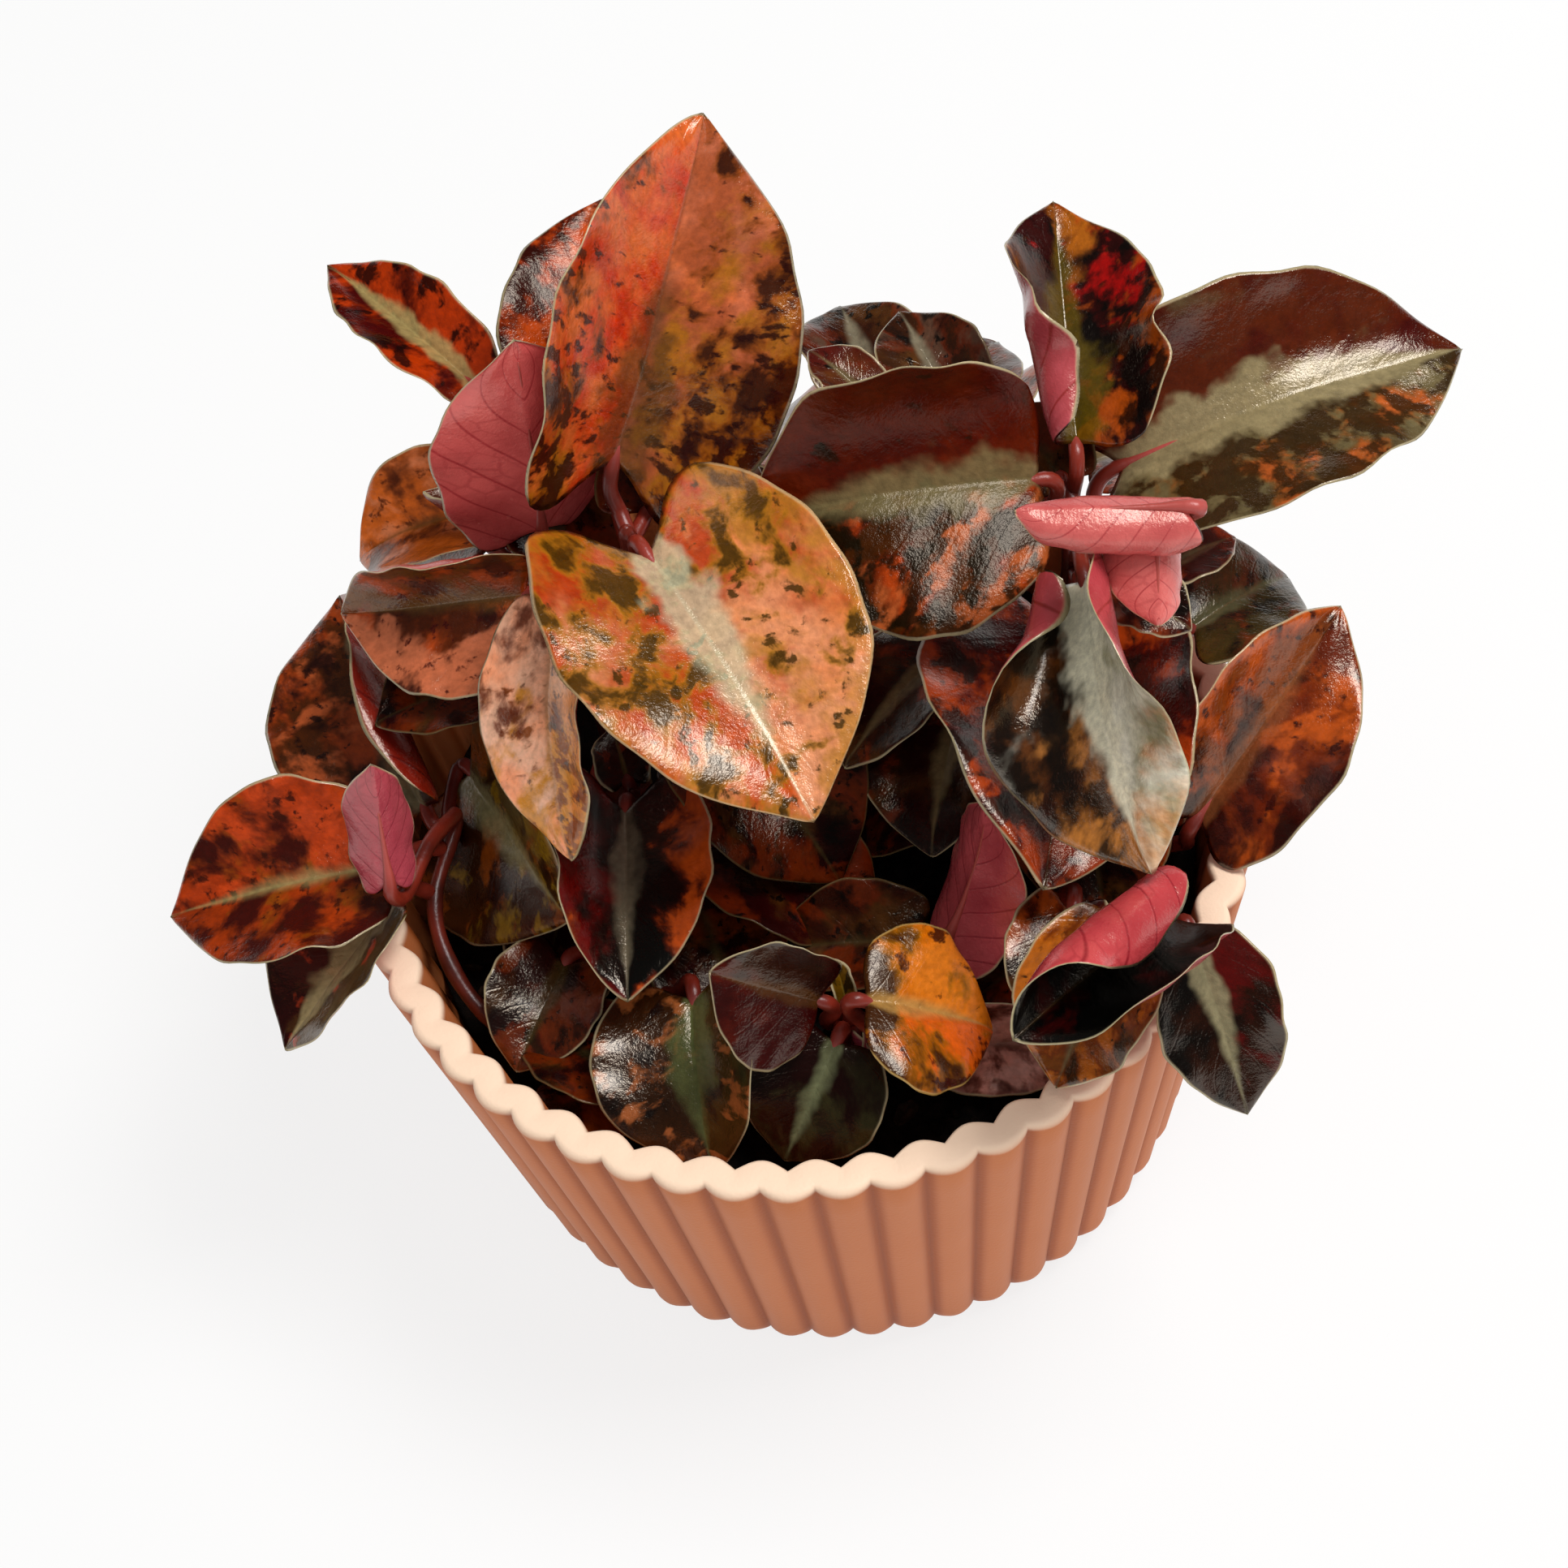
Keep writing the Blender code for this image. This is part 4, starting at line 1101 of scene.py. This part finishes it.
        ), band="#A07060", width=0.1)),
    "front_left_leaf_1": (
        shape(-98, -8, 21, 20, 24, arch=30, curl=(44, 31), fold=13, lobe=0.1),
        look("#40301A", "#38240F", (
            spots("#A05A30", 0.36, 2.8, stretch=1.8),
            spots("#241408", 0.36, 3.4, soft=0.05)
        ), band="#5C6038", width=0.3, frill=0.4)),
    "front_left_leaf_2": (shape(-121, 1, -8, 14, 15), camo("#2A160A", "#6A3018", 0.34, band="#4A3A20")),
    "back_left_leaf_1": (
        shape(128, 14, -3, 26, 14, arch=13, curl=(38, 47), fold=14, lobe=0.04),
        look("#4A1A0C", "#3A1208", (
            spots("#B83C16", 0.46, 5.0, left=-0.1, stretch=1.6, fringe="#7A2A0C"),
            spots("#260E05", 0.32, 3.0)
        ), band="#A8945E", width=0.3, reach=1.1, gloss=0.2)),
    "back_left_leaf_2": (shape(112, -28, 0, 26, 25, arch=45), camo("#40200F")),
    "back_left_leaf_3": (shape(158, -30, 10, 24, 22, arch=35), camo("#3A200E")),
    "back_right_leaf_1": (shape(85, -25, 0, 27, 25, arch=45), camo("#3C1E10", "#9A4420")),
    "back_right_leaf_2": (shape(30, -20, 0, 27, 24, arch=40), camo("#44220E")),
    "back_right_leaf_3": (shape(112, -18, 0, 24, 23, arch=35), camo("#3A1C0E", "#9E4A22")),
}

worst = 0.0
for seed, (node, (spec, given)) in enumerate(LEAVES.items()):
    base, stalk, misfit = seat_leaf(node, spec)
    rolled = node == ROLLED_LEAF
    if rolled:
        stalk = np.linspace(stalk[0], stalk[-1], len(stalk))
    worst = max(worst, misfit)
    add_piece(node.replace("_leaf", "_fine_leaf"),
              [blade_shell(spec, base, given, seed), stalk_shell(spec, base, stalk)],
              [leaf_finish(node, given, seed), pink_stalk if rolled else red_stalk], node)
print(len(LEAVES), "leaves, largest misfit", round(worst, 2), "mm")

# %% [markdown]
# ## Stems
#
# Each shoot has a fleshy red stem that swells a little here and there. The line and the
# thickness come from the rings of its solid. The fine tube follows a smooth curve through
# their centres, and is slimmer than the solid, most of all on the low shoots.

# %% Stem tubes
STEM_STEPS, STEM_SIDES = 120, 20
STEM_SHARE, LOW_STEM_SHARE = 0.8, 0.6       # of the solid's radius
STEM_SWELLING, STEM_TIP = 0.07, 0.4         # a share of the radius; the radius at the tip


def stem_line(node):
    """The smooth centre line of a stem from the soil up, and the radii of its rings."""
    tip, rings = solid_rings(node)
    rings = rings[::-1]
    centre = np.array([ring.mean(0) for ring in rings] + [tip])
    own = np.array([np.linalg.norm(ring - ring.mean(0), axis=1).mean() for ring in rings] + [STEM_TIP])
    return smooth_path(centre, STEM_STEPS), own


def stem_shell(node):
    """A tube about the rings' centres: radius = slim * the rings' own * (1 + 0.07 sin(31 t + phase))."""
    path, own = stem_line(node)
    share = np.linspace(0, 1, STEM_STEPS)
    radius = np.interp(share, np.linspace(0, 1, len(own)), own)
    slim = LOW_STEM_SHARE if "low" in node else STEM_SHARE
    radius = radius * (1 + STEM_SWELLING * np.sin(share * 31 + len(node))) * slim
    return shell(tube(path, radius, np.array([1.0, 0.1, 0.0]), STEM_SIDES))


red_stem = stalk_finish("red_stem_skin", "#702214", "#3C120A")
for node in stems:
    add_piece(node.replace("_stem", "_fine_stem"), [stem_shell(node)], [red_stem], node)
print("stems:", len(stems))

# %% [markdown]
# ## Young and inner leaves
#
# A real plant has many more leaves than the large ones: dark old leaves low down, which close
# the hollow over the soil, and crumpled young ones at the tips. They have no solids, so each
# is told where its stalk leaves a stem, as a share of the stem's line, and the stalk's heading,
# rise and length. The rest is made like every other leaf.

# %% Leaves without solids
FIRST_SEED = 60


def deep(ground="#2A120A", patch="#5E2A14"):
    """An old leaf in the shade: nearly black, with a few rusty patches and a dull band."""
    return camo(ground, patch, 0.34, band="#4A3E26", width=0.14, share=0.6, margin="#6E5A3C",
                gloss=0.15)


def young(ground, **changes):
    """A young leaf: small, dark and crumpled at the margin."""
    layers = (spots("#6E2A14", 0.3, 2.5, soft=0.06),)
    return look(ground, None, layers, band="#5E4A2A", width=0.1, frill=0.9, **changes)


EXTRA_LEAVES = {
    "inner_dark_leaf_12": (
        "left_stem", 0.61, (-159, 23, 7.9), shape(-161, 16, 0, 18.7, 17, arch=20), deep("#2E1A0C")),
    "inner_dark_leaf_13": (
        "tall_stem", 0.62, (130, 22, 6), shape(132, 8, 0, 15, 14, arch=25), deep("#38180C")),
    "side_leaf_1": (
        "right_stem", 0.22, (20, 25, 5), shape(35, 20, 0, 12, 12, arch=20), deep("#301810", "#8A3E1C")),
    "side_leaf_2": (
        "right_edge_stem", 0.35, (80, 20, 5), shape(95, 15, 0, 14, 13, arch=20), camo("#3A1C0E")),
    "side_leaf_3": (
        "right_edge_stem", 0.14, (-118, 32, 5.3), shape(-153, 5, 0, 11.2, 10.3, arch=20), deep("#3A200E")),
    "side_leaf_4": (
        "low_left_stem", 0.08, (63, 10, 8), shape(78, 12, 0, 17.8, 15.8, arch=20), camo("#38200E")),
    "behind_leaf_1": (
        "back_stem", 0.27, (118, 18, 8.2), shape(111, 4, 0, 16, 15, arch=30), camo("#3C1E0E")),
    "behind_leaf_2": (
        "back_stem", 0.6, (45, 15, 8), shape(50, 5, 0, 19, 18, arch=30), camo("#401C10", "#A04A20")),
    "behind_leaf_3": (
        "back_left_stem", 0.57, (24, 19, 5.4), shape(7, -9, 0, 13, 11.4, arch=30), camo("#421E0E")),
    "behind_leaf_4": (
        "back_right_stem", 0.35, (160, 12, 7), shape(150, 0, 0, 19, 18, arch=28), camo("#3A1A0C")),
    "behind_leaf_5": (
        "back_left_stem", 0.5, (162, 18, 7.4), shape(151, -1, 0, 16.7, 15.8, arch=28), camo("#46200E")),
    "tall_dark_leaf": (
        "tall_stem", 0.84, (60, 0, 5), shape(59, -6, 0, 18.7, 17, arch=20), deep("#3A160A")),
    "right_dark_leaf": (
        "right_stem", 0.93, (105, 20, 4), shape(112, 14, 0, 12, 12, arch=20), deep("#30140A")),
    "right_rolled_leaf": (
        "right_stem", 0.97, (-73.5, 43, 24.6),
        shape(-98, -30, 168, 11, 12, arch=-15, curl=(50, 90), ear=0.1),
        look("#4A3A20", None, (spots("#8A8058", 0.4, 3.0),), under="#DE6E68", vein="#A8363A", frill=0.5)),
    "inner_dark_leaf_1": (
        "tall_stem", 0.35, (-60, 8, 12), shape(-62, -14, 5, 25, 24, arch=30, lobe=0.12), deep()),
    "inner_dark_leaf_2": (
        "right_stem", 0.12, (-165, 8, 10), shape(-165, -6, -10, 26, 24, arch=15), deep("#301A0C")),
    "inner_dark_leaf_3": (
        "inner_stem", 0.45, (-25, 5, 9), shape(-35, -8, 5, 21, 20, arch=20), deep("#340F08", "#7A2E14")),
    "inner_dark_leaf_4": (
        "inner_stem", 0.15, (-70, 5, 8), shape(-80, 0, 0, 18, 19, arch=18), deep("#36160C", "#6E3418")),
    "inner_dark_leaf_5": (
        "front_low_stem", 0.7, (170, 15, 6), shape(172, 4, -10, 17, 15, arch=20), deep("#38200E")),
    "inner_dark_leaf_6": (
        "right_edge_stem", 0.4, (-140, 10, 8), shape(-155, 0, 0, 20, 18, arch=20),
        deep("#301008", "#8A3416")),
    "inner_dark_leaf_7": ("left_stem", 0.2, (-110, 8, 9), shape(-112, -6, 0, 23, 21, arch=15), deep()),
    "inner_dark_leaf_8": (
        "low_left_stem", 0.15, (-29, 26, 5.7), shape(-44, 10, 0, 15, 14, arch=15), deep("#2C1A0C")),
    "inner_dark_leaf_9": (
        "low_left_stem", 0.1, (-50, 12, 5), shape(-35, 2, 12, 14, 15, arch=15), deep("#33200E", "#7A3A1A")),
    "inner_dark_leaf_10": (
        "right_stem", 0.3, (-90, 8, 12), shape(-95, -10, 8, 24, 22, arch=25), deep("#2A1208", "#8A3818")),
    "inner_dark_leaf_11": ("tall_stem", 0.2, (-20, 8, 12), shape(-15, -6, 0, 24, 22, arch=18), deep()),
    "left_young_leaf_1": (
        "left_stem", 0.97, (129, 5, 15), shape(140, 42, 30, 9, 8, arch=10, curl=(80, 60), fold=25),
        young("#5A2A18", under="#7E3A34")),
    "left_young_leaf_2": (
        "left_stem", 0.97, (122, 12, 13), shape(90, 60, -20, 7, 6, arch=10, curl=(80, 60), fold=25),
        young("#5A3A20", under="#7E3A34")),
    "inner_young_leaf_1": (
        "inner_stem", 0.83, (2, 35, 3.5), shape(-29, 24, 0, 7.3, 8, arch=30), young("#280A06")),
    "inner_young_leaf_2": (
        "inner_stem", 0.79, (109, 52, 3.3), shape(97, 38, 0, 6.8, 7.6, arch=30), young("#280A06")),
    "front_bud_leaf": (
        "front_stem", 0.95, (95, 60, 2), shape(95, 40, 0, 5, 4.5, arch=10, curl=(60, 60), fold=25),
        look("#6A4A18", None, (spots(INK, 0.4, 1.5),), band="#8A7030", frill=0.4)),
    "front_young_leaf": (
        "front_stem", 0.8, (-75, 15, 2.5), shape(-78, -35, 0, 7.5, 7, arch=10, curl=(150, 150), fold=30),
        look("#3A120C", under="#A84450", vein="#6E1C28")),
}


def extra_leaf(name, stem, share, way, spec, given, seed):
    """Blade and stalk of a leaf; way is the heading, rise and length of its straight stalk."""
    line = stem_line(stem)[0]
    start = line[int(share * (STEM_STEPS - 1))]
    heading, rise = np.radians(way[:2])
    along = np.array([np.cos(heading) * np.cos(rise), np.sin(heading) * np.cos(rise), np.sin(rise)])
    stalk = start + np.array([0.2, 0.5, 0.75, 1.0])[:, None] * way[2] * along
    add_piece(name, [blade_shell(spec, stalk[-1], given, seed), stalk_shell(spec, stalk[-1], stalk)],
              [leaf_finish(name, given, seed), red_stalk])


for number, (name, row) in enumerate(EXTRA_LEAVES.items()):
    extra_leaf(name, *row, seed=FIRST_SEED + number)
print("leaves without solids:", len(EXTRA_LEAVES))

# %% [markdown]
# ## The pot
#
# A moulded cover pot of matt clay pink. Its wall is pleated like a bun case: broad round
# crests with narrow creases between them, and the same pleats show on the inside of the rim.
# One profile is carried round: up the outer wall, over a rounded lip and down inside to the
# floor. The pleats fade out under the foot, where the wall turns in to the flat base.

# %% Pot wall
POT_HEIGHT, RIM_RADIUS, WALL_SLOPE = 57.0, 51.8, 0.142
FLUTES, FLUTE_DEPTH, INNER_DEPTH = 54, 1.25, 1.3
RIM_THICKNESS, FOOT_ROUNDING, FOOT_INSET, FLOOR = 2.4, 5.0, 2.2, 3.2
LIP_RISE, LIP_INSET, LIP_LAND = 0.9, 0.75, 0.55
CREST_FULLNESS = 0.8        # the power of |cos|: less than 1 makes the crests rounder
STEPS_PER_FLUTE = 12
BASE_SHARE = 0.94           # how much of the foot's radius lies flat on the floor
INSIDE = ((56.85, 0.25, 1), (56.5, 0.06, 1), (56.0, 0.0, 1), (50.0, 0.0, 1), (46.0, 0.0, 1),
          (30.0, 0, 1), (8.0, 0.0, 0.6), (FLOOR, 2.0, 0.2))     # height, inset, share of the pleats
# The crease colour is painted shade, and the top edge colour is a painted highlight.
CLAY, PALE_CLAY, PAINTED_CREASE_SHADE, PAINTED_TOP_HIGHLIGHT = "#C8713C", "#D07E4E", "#A85422", "#FFDFC2"
HIGHLIGHT_START, HIGHLIGHT_FULL = 0.0555, 0.0569        # metres up, where the painted highlight on the top edge comes in


def pot_profile():
    """Height, radius in the creases, and the share of the pleats, up the outside and down inside."""
    turn = np.linspace(0, np.pi / 2, 7)
    foot = np.array([[FOOT_ROUNDING * 0.9 * (1 - np.cos(a)), FOOT_INSET * (np.sin(a) - 1),
                      0.15 + 0.85 * np.sin(a) ** 2] for a in turn])
    rise = np.array([[z, 0.0, 1.0] for z in np.linspace(FOOT_ROUNDING, POT_HEIGHT - LIP_RISE, 9)])
    lip = np.array([[POT_HEIGHT - LIP_RISE + LIP_RISE * np.sin(a), -LIP_INSET * (1 - np.cos(a)),
                     1 - 0.25 * np.sin(a)] for a in turn[1:]])
    outer = np.vstack([foot, rise, lip])
    outer[:, 1] += RIM_RADIUS - WALL_SLOPE * (POT_HEIGHT - outer[:, 0])
    return outer


def pot_grid(steps=FLUTES * STEPS_PER_FLUTE):
    """Rings about Z: r = crease + depth * |cos(27 a)|^0.8 outside, and r = notch - depth *
    |sin(27 a)| inside, so that the wall keeps an even thickness."""
    angle = np.linspace(0, 2 * np.pi, steps + 1)
    angle[-1] = 0.0
    phase = FLUTES / 2 * angle
    crest = np.abs(np.cos(phase)) ** CREST_FULLNESS
    bed = np.abs(np.sin(phase))
    outer = pot_profile()
    rings = [(0.0, 0.0 * angle), (0.0, BASE_SHARE * (outer[0, 1] + 0 * angle))]
    rings += [(z, crease + share * FLUTE_DEPTH * crest) for z, crease, share in outer]
    inner_top = RIM_RADIUS - RIM_THICKNESS - INNER_DEPTH * bed
    rings.append((POT_HEIGHT, inner_top + LIP_LAND))
    for z, inset, share in INSIDE:
        notch = RIM_RADIUS - RIM_THICKNESS - WALL_SLOPE * (POT_HEIGHT - z)
        rings.append((z, notch + inset - share * INNER_DEPTH * bed))
    rings.append((FLOOR, 0.0 * angle))
    return np.array([np.stack([r * np.cos(angle), r * np.sin(angle), z + 0 * angle], -1)
                     for z, r in rings])


def pot_finish():
    """Matt pink plastic: a hint of mottling, a fine grain, painted shade in the creases and a painted
    highlight on the top edge.
    """
    made, tree, shader = new_finish("clay_pink_matt", Roughness=0.5, Specular_IOR_Level=0.2)
    place = object_place(tree)
    height = tree.nodes.new("ShaderNodeSeparateXYZ")
    feed(tree, height.inputs[0], place)
    cloud = noise(tree, place, 60, 3)
    wall = blend_colour(tree, cloud, linear(CLAY), linear(PALE_CLAY))
    around = math(tree, "ARCTAN2", height.outputs["Y"], height.outputs["X"])
    crest = math(tree, "ABSOLUTE", math(tree, "COSINE", math(tree, "MULTIPLY", around, FLUTES / 2)))
    # Painted shade: the creases between the crests are coloured darker, as if shade lay in them.
    wall = blend_colour(tree, step(tree, crest, 0.0, 0.75), linear(PAINTED_CREASE_SHADE), wall)
    # Painted highlight: the top of the lip is coloured paler, as light from above would make it.
    top = step(tree, height.outputs["Z"], HIGHLIGHT_START, HIGHLIGHT_FULL)
    feed(tree, shader["Base Color"], blend_colour(tree, top, wall, linear(PAINTED_TOP_HIGHLIGHT)))
    feed(tree, shader["Normal"], bump(tree, noise(tree, place, 2200, 2), strength=0.25, distance=0.0002))
    return made


pot = add_piece("fluted_pot", [shell(pot_grid())], [pot_finish()], "pot")
print("pot:", len(pot.data.polygons), "triangles")

# %% [markdown]
# ## Soil
#
# Dark, damp potting mix. The top is a height field in polar rings: the mound of the solid plus
# several layers of smooth noise. Loose crumbs and bark chips of a few dozen faces each lie on
# it, the crumbs in one mesh and the chips in another.

# %% Soil surface and crumbs
SOIL_TOP, SOIL_MOUND, SOIL_BOTTOM, SOIL_GAP = 44.0, 1.6, 30.0, 0.35
SOIL_NOISE = ((9.0, 0.5), (3.1, 0.4), (1.3, 0.26), (0.6, 0.14))     # cell and height of each layer
LATTICE, LATTICE_SHIFT = 128, 300       # cells before the noise repeats; its start, far outside


def value_noise(x, y, cell, seed):
    """Random heights on a square lattice, blended smoothly between lattice points: -1 to 1."""
    table = np.random.default_rng(seed).uniform(-1, 1, (LATTICE, LATTICE))
    gx, gy = x / cell, y / cell
    ix, iy = np.floor(gx).astype(int), np.floor(gy).astype(int)
    fx, fy = gx - ix, gy - iy
    fx, fy = fx * fx * (3 - 2 * fx), fy * fy * (3 - 2 * fy)
    corner = [table[(ix + dx) % LATTICE, (iy + dy) % LATTICE]
              for dx, dy in ((0, 0), (1, 0), (0, 1), (1, 1))]
    return ((corner[0] * (1 - fx) + corner[1] * fx) * (1 - fy)
            + (corner[2] * (1 - fx) + corner[3] * fx) * fy)


def soil_radius(z):
    """Just inside the innermost pleats of the wall at height z."""
    return RIM_RADIUS - RIM_THICKNESS - INNER_DEPTH - WALL_SLOPE * (POT_HEIGHT - z) - SOIL_GAP


def soil_top(x, y):
    """Mound 1.6 * (1 - r^2) on 44 mm, plus noise of four sizes that fades at the wall."""
    r = np.hypot(x, y) / soil_radius(SOIL_TOP)
    rough = sum(height * value_noise(x + LATTICE_SHIFT, y + LATTICE_SHIFT, cell, seed)
                for seed, (cell, height) in enumerate(SOIL_NOISE))
    return SOIL_TOP + SOIL_MOUND * (1 - r ** 2) + rough * np.clip(4 * (1 - r), 0.2, 1)


def soil_shell(rings=110, steps=300):
    """The height field, then a plain wall down to a flat bottom."""
    angle = np.linspace(0, 2 * np.pi, steps + 1)
    angle[-1] = 0.0
    share = np.linspace(0, 1, rings)[:, None] ** 0.85
    x = share * soil_radius(SOIL_TOP) * np.cos(angle)
    y = share * soil_radius(SOIL_TOP) * np.sin(angle)
    top = np.stack([x, y, soil_top(x, y)], -1)
    reach = soil_radius(SOIL_BOTTOM)
    low = np.stack([reach * np.cos(angle), reach * np.sin(angle), SOIL_BOTTOM + 0 * angle], -1)
    middle = low * [0, 0, 1]
    return shell(np.concatenate([top, low[None], middle[None]]))


def crumb_shells(count, seed, size, flat=1.0):
    """Lumps in the soil's top: a five-ring ball pushed in and out at random, turned and laid there."""
    rng = np.random.default_rng(seed)
    turn = np.linspace(0, 2 * np.pi, 8)
    turn[-1] = 0
    tilt = np.linspace(-np.pi / 2, np.pi / 2, 5)
    ball = np.stack([np.cos(tilt)[:, None] * np.cos(turn), np.cos(tilt)[:, None] * np.sin(turn),
                     np.sin(tilt)[:, None] + 0 * turn], -1)
    made = []
    for _ in range(count):
        push = rng.uniform(0.65, 1.2, ball.shape[:2])
        push[:, -1], push[0], push[-1] = push[:, 0], push[0, 0], push[-1, 0]
        axes, _ = np.linalg.qr(rng.normal(size=(3, 3)))
        span = rng.uniform(0.5, 1.0) * size
        lump = ball * push[..., None] * np.array([1.0, 0.75, 0.55 * flat]) * span
        reach = rng.uniform(0, 1) ** 0.5 * (soil_radius(SOIL_TOP) - size)
        bearing = rng.uniform(0, 2 * np.pi)
        x, y = reach * np.cos(bearing), reach * np.sin(bearing)
        made.append(shell(lump @ axes + [x, y, soil_top(x, y) + 0.25 * span]))
    return made


def soil_finish(name, dark, light, rough=0.9):
    """Dull grains, dark and light, which stand out a little."""
    made, tree, shader = new_finish(name, Specular_IOR_Level=0.12)
    place = object_place(tree)
    share = step(tree, noise(tree, place, 500, 5, 0.7), 0.38, 0.72)
    feed(tree, shader["Base Color"], blend_colour(tree, share, linear(dark), linear(light)))
    feed(tree, shader["Roughness"], math(tree, "MULTIPLY_ADD", share, 0.15, rough - 0.1))
    grain = noise(tree, place, 1400, 4, 0.7)
    feed(tree, shader["Normal"], bump(tree, grain, strength=0.8, distance=0.0006))
    return made


peat = soil_finish("peat", "#070504", "#1C140F")
bark = soil_finish("bark", "#1C130E", "#453224", 0.8)
soil_piece = add_piece("soil_surface", [soil_shell()], [peat], "soil")
crumbs = crumb_shells(count=320, seed=5, size=1.5)
chips = crumb_shells(count=60, seed=9, size=2.6, flat=0.5)
add_piece("soil_crumbs", crumbs, [peat])
add_piece("bark_chips", chips, [bark])
print("soil:", len(soil_piece.data.polygons), "triangles, crumbs:", len(crumbs) + len(chips))
